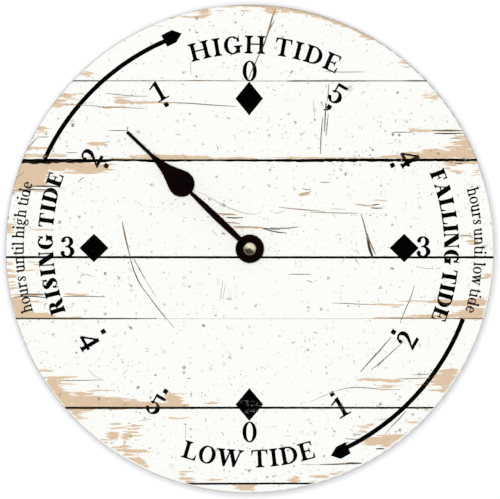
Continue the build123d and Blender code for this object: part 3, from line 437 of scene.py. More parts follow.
def ink(name, colour, worn_colour):
    """Printed ink that lets the worn wood show a little."""
    made, tree = material(name)
    fine = grain(tree, (300, 0, 1500), 5.0, 0.7)
    shade = mix(tree, between(tree, fine, 0.6, 0.78, 0, 0.5), colour, worn_colour)
    over_wood = times(tree, wear(tree, "Wear"), between(tree, fine, 0.4, 0.62, 0.3, 1.0))
    return finished(
        made,
        Base_Color=mix(tree, over_wood, shade, worn_colour),
        Roughness=between(tree, fine, 0.3, 0.7, 0.42, 0.6),
        Specular_IOR_Level=0.02,
    )


BLACK_INK = ink("black_ink", (1, 1, 1), (58, 48, 38))
DARK_INK = ink("dark_ink", (58, 54, 48), (96, 88, 76))
BROWN_INK = ink("brown_ink", (138, 118, 94), (176, 150, 120))
GREY_INK = ink("grey_ink", (112, 110, 105), (158, 152, 142))
PALE_INK = ink("pale_ink", (194, 191, 183), (200, 184, 160))
FLECK_INK = ink("fleck_ink", (156, 154, 149), (176, 168, 154))

# The print is closed sheets of ink, which start a hair under the face. Their height above it in mm
# puts each kind over the ones that it crosses
PRINT_SINK = 0.05 * MM
FIRST_JOINT_LAYER = 0.02
FOURTH_JOINT_LAYER = 0.022
JOINT_LAYER = 0.024
GREY_HAIRLINE_LAYER = 0.032
PALE_HAIRLINE_LAYER = 0.036
FLECK_LAYER = 0.04
LEGEND_LAYER = 0.044
NUMERAL_LAYER = 0.048
DIAMOND_LAYER = 0.052
ARROW_LAYER = 0.056
SCRATCH_LAYER = 0.062
SCRATCH_STEP = 0.004
SCUFF_LAYER = 0.088


def signed_area(points):
    return sum(a[0] * b[1] - b[0] * a[1] for a, b in zip(points, points[1:] + points[:1])) / 2


def flat_union(outlines):
    """Faces that cover all the outlines together, without overlap."""
    points = []
    faces = []
    for outline in outlines:
        ring = outline if signed_area(outline) > 0 else outline[::-1]
        faces.append(list(range(len(points), len(points) + len(ring))))
        points += [Vector(point) for point in ring]
    found = delaunay_2d_cdt(points, [], faces, 1, 1e-9)
    kept = [face for face, sources in zip(found[2], found[5]) if sources]
    return [(p.x, p.y) for p in found[0]], kept


def printed(name, outlines, layer, ink_material):
    """A closed sheet of ink over outlines given as lists of (x, z)."""
    points, faces = flat_union(outlines)
    count = len(points)
    vertices = [(x, face_level(x, z) - layer * MM, z) for x, z in points]
    vertices += [(x, face_level(x, z) + PRINT_SINK, z) for x, z in points]
    sides = dict.fromkeys(side for face in faces for side in zip(face, face[1:] + face[:1]))
    polygons = [tuple(face) for face in faces]
    polygons += [tuple(i + count for i in reversed(face)) for face in faces]
    polygons += [(b, a, a + count, b + count) for a, b in sides if (b, a) not in sides]
    mesh = bpy.data.meshes.new(name)
    mesh.from_pydata(vertices, [], polygons)
    mesh.validate()
    mesh.materials.append(ink_material)
    piece = add_object(name, mesh)
    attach(piece, "clock_body")


# Letter shapes, in units of the capital height, built from stems, bars, bowls and brushes. A pen
# gives the width of stems and of hairlines, the height of slabs and how far these reach out
Pen = namedtuple("Pen", "stem hair slab reach")
SMALL = 0.69


def arc(cx, cy, rx, ry, start, end, steps=14):
    """Points along an ellipse between two angles in degrees."""
    turns = [math.radians(start + (end - start) * i / steps) for i in range(steps + 1)]
    return [(cx + rx * math.cos(t), cy + ry * math.sin(t)) for t in turns]


def bowl(cx, cy, rx, ry, side, top, start, end):
    """Part of an oval ring that is thick at its sides and thin at top and bottom."""
    return arc(cx, cy, rx, ry, start, end) + arc(cx, cy, rx - side, ry - top, end, start)


def oval(cx, cy, rx, ry, side, top):
    return [bowl(cx, cy, rx, ry, side, top, 0, 180), bowl(cx, cy, rx, ry, side, top, 180, 360)]


def bar(x0, y0, x1, y1):
    return [(x0, y0), (x1, y0), (x1, y1), (x0, y1)]


def slant(x0, y0, x1, y1, width):
    """A sloping stroke with level ends."""
    half = width / 2
    return [(x0 - half, y0), (x0 + half, y0), (x1 + half, y1), (x1 - half, y1)]


def ball(x, y, radius):
    return arc(x, y, radius, radius, 0, 330, 11)


def serif(pen, x, y, width, up):
    """A bracketed slab at the end of a stem. up is 1 at a foot and -1 at a head."""
    half = width / 2
    step = up * pen.slab
    right = [(half + pen.reach, 0), (half + pen.reach, step), (half + pen.reach * 0.4, step * 1.25)]
    right.append((half, step * 2.4))
    return [(x + a, y + b) for a, b in right] + [(x - a, y + b) for a, b in reversed(right)]


def stem(pen, x, low, high, width=None, foot=True, head=True):
    width = width or pen.stem
    parts = [bar(x - width / 2, low, x + width / 2, high)]
    parts += [serif(pen, x, low, width, 1)] if foot else []
    parts += [serif(pen, x, high, width, -1)] if head else []
    return parts


def flagged(pen, x, low, high, foot=True):
    """A small letter's stem, with a slanted head."""
    left = x - pen.stem / 2
    drop = pen.slab * 1.6
    flag = [(left - pen.reach, high - drop), (left, high - drop * 1.8)]
    flag += [(x + pen.stem / 2, high), (left, high)]
    return [*stem(pen, x, low, high, foot=foot, head=False), flag]


def arch(pen, first, second, y, start, end):
    """The bow that joins the two stems of a small letter."""
    reach = (second - first) / 2 + pen.stem / 2
    return bowl((first + second) / 2, y, reach, 0.23, pen.stem, pen.hair * 1.4, start, end)


def beak(x, y, length, thick, side=1):
    """A wedge that hangs from the end of a bar, or stands on it. side is 1 at a right end."""
    return [(x, y), (x, y + length), (x - side * thick * 0.35, y + length), (x - side * thick * 1.5, y)]


def vee(pen, left, foot, right, high):
    """A thick and a thin stroke that meet in a narrow foot."""
    half = pen.stem * 0.55
    thin = pen.hair * 1.2
    point = foot - half + 0.11
    share = (foot + half - point) / (right + thin / 2 - point + foot - left)
    corner = (foot + half + (left - foot) * share, high * share)
    thick = [(left - half, high), (foot - half, 0), (point, 0), corner, (left + half, high)]
    return [thick, [(point - thin, 0), (point, 0), (right + thin / 2, high), (right - thin / 2, high)]]


def two_vees(pen, tops, feet, high):
    """Two vees side by side, with slabs on their three tops."""
    parts = vee(pen, tops[0], feet[0], tops[1], high) + vee(pen, tops[1], feet[1], tops[2], high)
    widths = (pen.stem, pen.stem, pen.hair)
    return parts + [serif(pen, x, high, width, -1) for x, width in zip(tops, widths)]


def brush(points, widths, steps=5):
    """A stroke of changing width along a smooth curve through the points."""
    points = [Vector(point) for point in points]
    line = []
    for i in range(len(points) - 1):
        here, there = points[i], points[i + 1]
        before = points[max(i - 1, 0)]
        after = points[min(i + 2, len(points) - 1)]
        for k in range(steps + (i == len(points) - 2)):
            t = k / steps
            place = 0.5 * (
                2 * here + (there - before) * t
                + (2 * before - 5 * here + 4 * there - after) * t * t
                + (3 * here - before - 3 * there + after) * t**3
            )
            line.append((place, widths[i] + (widths[i + 1] - widths[i]) * t))
    left = []
    right = []
    for i, (place, width) in enumerate(line):
        along = (line[min(i + 1, len(line) - 1)][0] - line[max(i - 1, 0)][0]).normalized()
        across = Vector((-along.y, along.x)) * width / 2
        left.append(tuple(place + across))
        right.append(tuple(place - across))
    return left + right[::-1]


def armed_capital(letter, pen, first, beak_wide):
    """L, E or F."""
    h = pen.hair
    w = {"L": 0.82, "E": 0.84, "F": 0.78}[letter]
    parts = stem(pen, first, 0, 1)
    if letter in "LE":
        parts += [bar(first, 0, w - 0.02, h), beak(w, 0, 0.33, beak_wide)]
    if letter in "EF":
        arm, middle = w - 0.04, w - 0.2
        parts += [bar(first, 1 - h, arm, 1), beak(arm, 1, -0.29, beak_wide)]
        parts += [bar(first, 0.5 - h / 2, middle, 0.5 + h / 2)]
        parts += [beak(middle, 0.5, length, beak_wide * 0.7) for length in (0.16, -0.16)]
    return parts, w


def capital(letter, pen):
    """Outlines and width of a capital."""
    s, h, r = pen.stem, pen.hair, pen.reach
    first = r + s / 2
    beak_wide = 0.07 + s * 0.15
    if letter in "LEF":
        return armed_capital(letter, pen, first, beak_wide)
    if letter == "H":
        w = 1.16
        parts = [*stem(pen, first, 0, 1), *stem(pen, w - first, 0, 1)]
        return parts + [bar(first, 0.49, w - first, 0.49 + h)], w
    if letter == "I":
        return stem(pen, first, 0, 1), 2 * first
    if letter == "T":
        w = 0.92
        beaks = [beak(w, 1, -0.3, beak_wide), beak(0, 1, -0.3, beak_wide, -1)]
        return [*stem(pen, w / 2, 0, 1, head=False), bar(0, 1 - h, w, 1), *beaks], w
    if letter == "D":
        w, middle = 0.99, 0.44
        parts = [*stem(pen, first, 0, 1), bar(first, 0, middle, h), bar(first, 1 - h, middle, 1)]
        return parts + [bowl(middle, 0.5, w - middle, 0.5, s * 1.05, h, -90, 90)], w
    if letter == "O":
        w = 0.96
        return oval(w / 2, 0.5, w / 2, 0.515, s * 1.05, h), w
    if letter == "G":
        w = 0.98
        parts = [bowl(0.47, 0.5, 0.47, 0.515, s * 1.05, h, 50, 318)]
        parts += [bowl(0.47, 0.5, 0.47, 0.515, s * 0.5, h, 28, 90), beak(0.87, 0.68, 0.34, beak_wide)]
        return parts + stem(pen, w - r * 0.7 - s / 2, 0.05, 0.47, foot=False), w
    if letter == "R":
        w = 1.0
        parts = [*stem(pen, first, 0, 1), bar(first, 1 - h, 0.44, 1), bar(first, 0.46, 0.5, 0.46 + h)]
        parts += [bowl(0.44, 0.73, 0.38, 0.27, s * 1.02, h, -90, 90)]
        leg = [(0.44, 0.48), (0.62, 0.36), (0.76, 0.13), (0.88, 0.03), (w, 0.06)]
        return parts + [brush(leg, [h, s, s, h * 1.8, h])], w
    if letter == "S":
        spine = [(0.62, 0.84), (0.39, 0.965), (0.16, 0.78), (0.37, 0.54), (0.59, 0.26)]
        spine += [(0.35, 0.035), (0.09, 0.2)]
        body = brush(spine, [h, h, s * 0.9, s * 1.2, s * 0.95, h, h])
        return [body, beak(0.67, 0.66, 0.35, beak_wide), beak(0.03, 0.34, -0.35, beak_wide, -1)], 0.76
    if letter == "N":
        w = 1.02
        thin = r + h / 2
        parts = stem(pen, thin, 0, 1, width=h, head=False) + stem(pen, w - thin, 0, 1, width=h, foot=False)
        parts += [slant(w - thin - s * 0.3, 0, thin + s * 0.35, 1, s * 1.3)]
        return parts + [bar(0, 1 - pen.slab, thin, 1)], w
    if letter == "A":
        w = 1.0
        left, right = r + 0.05, w - r - s * 0.5
        parts = [slant(left, 0, 0.5, 1, h * 1.1), slant(right, 0, 0.46, 1, s * 1.2)]
        parts += [serif(pen, left, 0, h, 1), serif(pen, right, 0, s, 1)]
        return parts + [bar(0.22, 0.3, 0.72, 0.3 + h)], w
    if letter == "W":
        return two_vees(pen, (0.19, 0.75, 1.31), (0.46, 1.02), 1), 1.5
    raise ValueError(letter)


def small(letter, pen):
    """Outlines and width of a small letter, in units of the height of l."""
    s, h, r = pen.stem, pen.hair, pen.reach
    first = r + s / 2
    middle = SMALL / 2
    if letter in "hn":
        w = 0.7
        parts = flagged(pen, first, 0, 1.0 if letter == "h" else SMALL)
        parts += stem(pen, w - first, 0, SMALL - 0.22, head=False)
        return parts + [arch(pen, first, w - first, SMALL - 0.22, 0, 172)], w
    if letter == "u":
        w = 0.68
        parts = flagged(pen, first, 0.22, SMALL, foot=False) + flagged(pen, w - first, 0, SMALL)
        return parts + [arch(pen, first, w - first, 0.22, 180, 352)], w
    if letter == "r":
        ear = [bowl(0.38, SMALL - 0.2, 0.16, 0.2, h, h * 1.6, 60, 172), ball(0.44, SMALL - 0.08, 0.09)]
        return flagged(pen, first, 0, SMALL) + ear, 0.52
    if letter == "o":
        return oval(0.3, middle, 0.3, middle + 0.01, s * 1.1, h), 0.6
    if letter == "s":
        spine = [(0.4, 0.55), (0.25, 0.65), (0.11, 0.52), (0.24, 0.36), (0.38, 0.17)]
        spine += [(0.23, 0.035), (0.06, 0.15)]
        body = brush(spine, [h, h * 1.2, s * 0.9, s * 1.1, s * 0.9, h * 1.2, h])
        return [body, beak(0.42, 0.44, 0.24, h), beak(0.03, 0.24, -0.24, h, -1)], 0.46
    if letter == "t":
        x = 0.18
        hook = bowl(x + 0.13, 0.16, 0.13 + s / 2, 0.17, s, h * 1.5, 180, 320)
        return [bar(x - s / 2, 0.16, x + s / 2, 0.86), bar(0.01, SMALL - h, 0.38, SMALL), hook], 0.4
    if letter == "i":
        return flagged(pen, first, 0, SMALL) + [ball(first, 0.93, 0.095)], 2 * first
    if letter == "l":
        return flagged(pen, first, 0, 1), 2 * first
    if letter == "g":
        parts = oval(0.27, 0.46, 0.22, 0.225, s * 0.95, h) + oval(0.29, -0.12, 0.28, 0.17, s * 0.8, h * 1.3)
        parts += [brush([(0.18, 0.26), (0.09, 0.16), (0.22, 0.07), (0.4, 0.03)], [h, s * 0.7, s, s * 0.8])]
        return parts + [bar(0.4, 0.61, 0.57, 0.61 + h * 1.3)], 0.6
    if letter == "d":
        w = 0.68
        return flagged(pen, w - first, 0, 1) + oval(0.28, middle, 0.28, middle + 0.01, s * 1.05, h), w
    if letter == "e":
        ring = bowl(0.28, middle, 0.28, middle + 0.01, s * 1.1, h * 1.3, 0, 325)
        return [ring, bar(0.07, SMALL * 0.5, 0.54, SMALL * 0.5 + h)], 0.56
    if letter == "w":
        return two_vees(pen, (0.12, 0.46, 0.8), (0.29, 0.62), SMALL), 0.9
    raise ValueError(letter)


def digit(figure, pen):
    """Outlines and width of a figure."""
    s, h = pen.stem, pen.hair
    if figure == "0":
        return oval(0.35, 0.5, 0.35, 0.51, s, h), 0.7
    if figure == "1":
        parts = [bar(0.3, 0, 0.3 + s, 0.97), bar(0.08, 0, 0.7, pen.slab), serif(pen, 0.3 + s / 2, 0, s, 1)]
        flag = [(0.3 + s, 1), (0.3 + s * 0.7, 1), (0.0, 0.8), (0.03, 0.74)]
        flag += [(0.3 + s * 0.3, 0.86), (0.3 + s, 0.8)]
        return parts + [flag], 0.72
    if figure == "2":
        spine = [(0.1, 0.72), (0.16, 0.9), (0.33, 0.965), (0.5, 0.87), (0.53, 0.68), (0.42, 0.46)]
        spine += [(0.2, 0.2), (0.08, 0.05)]
        top = brush(spine, [h, h * 1.5, h * 1.4, s * 1.05, s * 1.1, s * 0.8, h * 1.3, h])
        base = [(0.03, 0), (0.66, 0), (0.69, 0.16), (0.16, 0.16), (0.03, 0.05)]
        return [top, base, ball(0.11, 0.74, 0.095)], 0.68
    if figure == "3":
        high = bowl(0.27, 0.745, 0.31, 0.265, s * 1.05, h * 1.1, -90, 150)
        low = bowl(0.27, 0.265, 0.37, 0.28, s * 1.15, h * 1.1, -150, 90)
        balls = [ball(0.08, 0.8, 0.1), ball(0.06, 0.2, 0.105)]
        return [high, low, bar(0.18, 0.47, 0.3, 0.47 + h), *balls], 0.64
    if figure == "4":
        parts = [bar(0.475, 0.0, 0.475 + s, 1), slant(0.04, 0.33, 0.475 + s * 0.6, 1, h * 1.8)]
        return parts + [bar(0.0, 0.25, 0.76, 0.4), bar(0.475 - 0.05, 0, 0.525 + s, pen.slab)], 0.76
    if figure == "5":
        flag = [(0.12, 1), (0.12, 0.84), (0.58, 0.85), (0.66, 0.87), (0.66, 1)]
        low = bowl(0.29, 0.31, 0.36, 0.32, s * 1.15, h * 1.1, -152, 140)
        return [bar(0.12, 0.48, 0.12 + h * 1.2, 1), flag, low, ball(0.06, 0.19, 0.1)], 0.66
    raise ValueError(figure)


def placed(outlines, u, v, size, bearing, middle):
    """Outlines scaled to a size in pixels, stood at a pixel, tops towards the bearing."""
    turn = math.radians(bearing)
    right = Vector((math.cos(turn), -math.sin(turn)))
    up = Vector((math.sin(turn), math.cos(turn)))
    start = Vector(on_dial(u, v))
    return [
        [tuple(start + (right * (a - middle) + up * b) * size * PIXEL) for a, b in outline]
        for outline in outlines
    ]


# Legends: name, words, pen, capital height in pixels, radii and bearings of the feet at the first
# and last letter, and how far the letters are turned from tops outwards
WORD_SPACE = 0.22
MEDIUM_PEN = Pen(0.215, 0.082, 0.068, 0.125)
BOLD_PEN = Pen(0.29, 0.08, 0.068, 0.085)
LIGHT_PEN = Pen(0.145, 0.07, 0.062, 0.095)
LEGENDS = [
    ("high_tide", "HIGH TIDE", MEDIUM_PEN, 17.9, (193.6, 193.6), (-17.3, 26.3), 0),
    ("low_tide", "LOW TIDE", MEDIUM_PEN, 17.7, (220.5, 220.5), (198.1, 162.5), 180),
    ("rising_tide", "RISING TIDE", BOLD_PEN, 15.0, (194.2, 198.6), (-109.3, -69.0), 0),
    ("falling_tide", "FALLING TIDE", BOLD_PEN, 15.0, (194.8, 194.8), (67.6, 111.2), 0),
    ("hours_high", "hours until high tide", LIGHT_PEN, 12.1, (225.5, 225.5), (-106.5, -73.5), 0),
    ("hours_low", "hours until low tide", LIGHT_PEN, 12.1, (225.0, 225.0), (75.0, 106.6), 0),
]


def letter_shape(letter, pen):
    """Outlines and width of a letter, or of a space."""
    if letter == " ":
        return [], WORD_SPACE
    return capital(letter, pen) if letter.isupper() else small(letter, pen)


def legend(name, words, pen, size, radii, bearings, turned):
    """Words round the dial, spread evenly over their length."""
    shapes = [letter_shape(letter, pen) for letter in words]
    start, end = bearings
    length = abs(math.radians(end - start)) * sum(radii) / 2 / size
    gap = (length - sum(width for _, width in shapes)) / (len(shapes) - 1)
    outlines = []
    along = 0
    for shape, width in shapes:
        share = (along + width / 2) / length
        bearing = start + (end - start) * share
        u, v = at_bearing(radii[0] + (radii[1] - radii[0]) * share, bearing)
        outlines += placed(shape, u, v, size, bearing + turned, width / 2)
        along += width + gap
    printed("legend_" + name, outlines, LEGEND_LAYER, BLACK_INK)


for values in LEGENDS:
    legend(*values)

# Numerals: name, figure, centre, bearing of its top, and the dot on its inner side
NUMERAL_SIZE = 20.5
NUMERAL_PEN = Pen(0.19, 0.068, 0.07, 0.09)
DOT_SIZE = 4.6
NUMERALS = [
    ("top_0", "0", 249.7, 71.0, 0, None),
    ("upper_left_1", "1", 158.3, 91.3, -30, (166.4, 104.5)),
    ("upper_left_2", "2", 91.5, 157.6, -60, (106.2, 165.8)),
    ("left_3", "3", 68.0, 246.7, 0, None),
    ("lower_left_4", "4", 88.0, 341.3, 60, (103.3, 331.6)),
    ("lower_left_5", "5", 155.5, 404.6, 30, (165.6, 391.4)),
    ("bottom_0", "0", 249.6, 432.0, 0, None),
    ("lower_right_1", "1", 340.3, 407.0, -30, (332.1, 394.0)),
    ("lower_right_2", "2", 407.0, 339.9, -60, (393.5, 332.1)),
    ("right_3", "3", 424.0, 246.7, 0, None),
    ("upper_right_4", "4", 408.3, 157.9, 60, (392.4, 165.3)),
    ("upper_right_5", "5", 337.5, 93.8, 30, (329.2, 107.1)),
]
for name, figure, u, v, bearing, dot in NUMERALS:
    shape, width = digit(figure, NUMERAL_PEN)
    centred = [[(a, b - 0.5) for a, b in part] for part in shape]
    outlines = placed(centred, u, v, NUMERAL_SIZE, bearing, width / 2)
    if dot:
        outlines += placed([bar(-0.5, -0.5, 0.5, 0.5)], *dot, DOT_SIZE, bearing, 0)
    printed("numeral_" + name, outlines, NUMERAL_LAYER, BLACK_INK)

# Diamonds: name, centre, half width, half height
DIAMONDS = [
    ("top", 249.2, 98.5, 13.8, 17.0),
    ("left", 94.0, 248.0, 14.6, 14.3),
    ("right", 404.2, 248.0, 14.6, 14.3),
    ("bottom", 249.4, 404.5, 13.8, 16.5),
]
for name, u, v, half_u, half_v in DIAMONDS:
    corners = [(u + half_u, v), (u, v - half_v), (u - half_u, v), (u, v + half_v)]
    printed("diamond_" + name, [[on_dial(*corner) for corner in corners]], DIAMOND_LAYER, BLACK_INK)

# Arrows: name, three points along an arc of a circle, and the corners of the head
ARROW_WIDTH = 4.5
ARC_STEPS = 14
ARROWS = [
    ("rising", [(44.6, 159.2), (98.3, 84.9), (165, 41.1)],
     [(161.3, 35.2), (171.9, 30.0), (181.8, 33.4), (176.4, 42.3), (167.2, 46.8)]),
    ("falling", [(463, 319), (404, 407.4), (347, 447.4)],
     [(330.8, 455.7), (336.1, 446.9), (345.3, 442.1), (350.8, 453.3), (340.9, 458.9)]),
]


def arc_through(start, middle, end):
    """Points along the circle that passes through three."""
    ax, ay = middle[0] - start[0], middle[1] - start[1]
    bx, by = end[0] - start[0], end[1] - start[1]
    middle_far, end_far = ax * ax + ay * ay, bx * bx + by * by
    double = 2 * (ax * by - ay * bx)
    to_u, to_v = (by * middle_far - ay * end_far) / double, (ax * end_far - bx * middle_far) / double
    radius = math.hypot(to_u, to_v)
    centre = (start[0] + to_u, start[1] + to_v)
    first = math.atan2(start[1] - centre[1], start[0] - centre[0])
    turn = math.remainder(math.atan2(end[1] - centre[1], end[0] - centre[0]) - first, 2 * math.pi)
    angles = [first + turn * i / ARC_STEPS for i in range(ARC_STEPS + 1)]
    return [(centre[0] + radius * math.cos(a), centre[1] + radius * math.sin(a)) for a in angles]


for name, stations, head in ARROWS:
    places = [on_dial(*point) for point in arc_through(*stations)]
    shaft = brush(places, [ARROW_WIDTH * PIXEL] * len(places), steps=4)
    printed("arrow_" + name, [shaft, [on_dial(*corner) for corner in head]], ARROW_LAYER, BLACK_INK)

# Joints between the planks: name, layer, ink, raggedness, seed, step along it, and its stations
# as (u, width, v). They run over the dial's round rim almost to its edge
JOINT_RADIUS_PX = 244.3
RIM_GAP = 0.35
RIM_STEPS = (0, 0.4, 0.8, 1.3, 1.9, 2.6)
JOINT_ROWS = 6
PLANK_JOINTS = [
    ("first_left", FIRST_JOINT_LAYER, GREY_INK, 0.1, 1, 4,
     [(5, 1.5, 80.8), (98, 1.4, 80.8), (104, 0.9, 80.8), (182, 0.7, 80.8)]),
    ("first_middle", FIRST_JOINT_LAYER, BROWN_INK, 0.3, 3, 4,
     [(182, 0.7, 80.8), (195, 1.1, 80.6), (212, 0.9, 80.7), (250, 0.6, 81), (286, 0.6, 81)]),
    ("first_right", FIRST_JOINT_LAYER, GREY_INK, 0.12, 2, 4,
     [(286, 0.6, 81), (292, 1.5, 81), (345, 1.5, 80.9), (372, 1, 80.9), (402, 0.9, 80.9), (410, 1.5, 80.8),
      (495, 1.5, 80.8)]),
    ("second", JOINT_LAYER, BLACK_INK, 0.3, 4, 4,
     [(5, 4.8, 161.3), (48, 4.8, 161.3), (62, 3.9, 160.9), (105, 3.3, 160.7), (112, 2.3, 160.1),
      (137, 2.2, 160.2), (151, 3.1, 160.8), (166, 2.2, 160.4), (232, 2.1, 160.3), (300, 2.8, 160.5),
      (330, 3.1, 160.2), (400, 3.1, 160.2), (440, 2.7, 160), (495, 2.7, 160)]),
    ("third", JOINT_LAYER, BLACK_INK, 0.06, 5, 4,
     [(1, 2.2, 257.2), (120, 2.2, 257.2), (250, 2.2, 257.3), (380, 2.2, 257.4), (499, 2.3, 257.3)]),
    ("fourth_left", FOURTH_JOINT_LAYER, DARK_INK, 0.12, 6, 4,
     [(5, 1.6, 318.5), (57, 1.6, 318.6), (120, 1.3, 318.6), (157, 0.6, 318.6)]),
    ("fourth_middle", FOURTH_JOINT_LAYER, PALE_INK, 0.3, 7, 4,
     [(158, 0.5, 318.6), (250, 0.5, 318.8), (376, 0.6, 318.6)]),
    ("fourth_right", FOURTH_JOINT_LAYER, BROWN_INK, 0.2, 8, 4,
     [(374, 0.6, 318.3), (400, 1, 318.3), (452, 1, 318.4), (458, 1.4, 318.5), (495, 1.4, 318.6)]),
    ("fifth", JOINT_LAYER, BLACK_INK, 0.08, 9, 4,
     [(5, 2.4, 407.8), (150, 2.3, 407.9), (250, 2.2, 407.7), (350, 1.9, 407.8), (495, 1.7, 407.7)]),
    ("sixth", JOINT_LAYER, BLACK_INK, 0.1, 10, 1,
     [(5, 1.4, 483.6), (205, 2, 483.8), (270, 1.9, 483.5), (300, 1.8, 483.5), (499, 1.2, 483.4)]),
]


def joint_ends(v, start, end):
    """Where a level line starts and ends, between two pixels and inside the rim."""
    half_print = math.sqrt(JOINT_RADIUS_PX**2 - (v - PRINT_V) ** 2)
    half_dial = math.sqrt((DIAL_RADIUS_PX - RIM_GAP) ** 2 - (v - DIAL_V) ** 2)
    first = max(start, PRINT_U - half_print, DIAL_U - half_dial)
    return first, min(end, PRINT_U + half_print, DIAL_U + half_dial)


def along_joint(start, end, step):
    """Pixels along a joint, close together near its ends."""
    inner_start = start + RIM_STEPS[-1]
    inner_end = end - RIM_STEPS[-1]
    count = int((inner_end - inner_start) / step)
    middle = [inner_start + (inner_end - inner_start) * i / count for i in range(1, count)]
    return [start + s for s in RIM_STEPS] + middle + [end - s for s in reversed(RIM_STEPS)]


def value_at(stations, u, item):
    """The stations' item 1 or 2 between the two on either side."""
    for before, after in zip(stations, stations[1:]):
        if u <= after[0]:
            share = max(u - before[0], 0) / (after[0] - before[0])
            return before[item] + (after[item] - before[item]) * share
    return stations[-1][item]


def plank_joint(name, layer, joint_ink, ragged, seed, step, stations):
    """A joint between planks, in rows that bend over the rim."""
    pick = random.Random(seed)
    limits = (stations[0][0], stations[-1][0])
    start, end = joint_ends(stations[0][2], *limits)
    places = along_joint(start, end, step)
    rows = [[] for _ in range(JOINT_ROWS + 1)]
    for number, u in enumerate(places):
        half = value_at(stations, u, 1) / 2
        middle = value_at(stations, u, 2)
        upper = middle - half * (1 + pick.uniform(-ragged, ragged) * 0.4)
        lower = middle + half * (1 + pick.uniform(-ragged, ragged))
        for row_number, row in enumerate(rows):
            share = row_number / JOINT_ROWS
            row_start, row_end = joint_ends(middle + half * (2 * share - 1), *limits)
            shift = 0
            if number < len(RIM_STEPS):
                shift = row_start - start
            elif number >= len(places) - len(RIM_STEPS):
                shift = row_end - end
            row.append(on_dial(u + shift, upper + (lower - upper) * share))
    strips = [over + under[::-1] for over, under in zip(rows, rows[1:])]
    printed("joint_" + name, strips, layer, joint_ink)


for values in PLANK_JOINTS:
    plank_joint(*values)

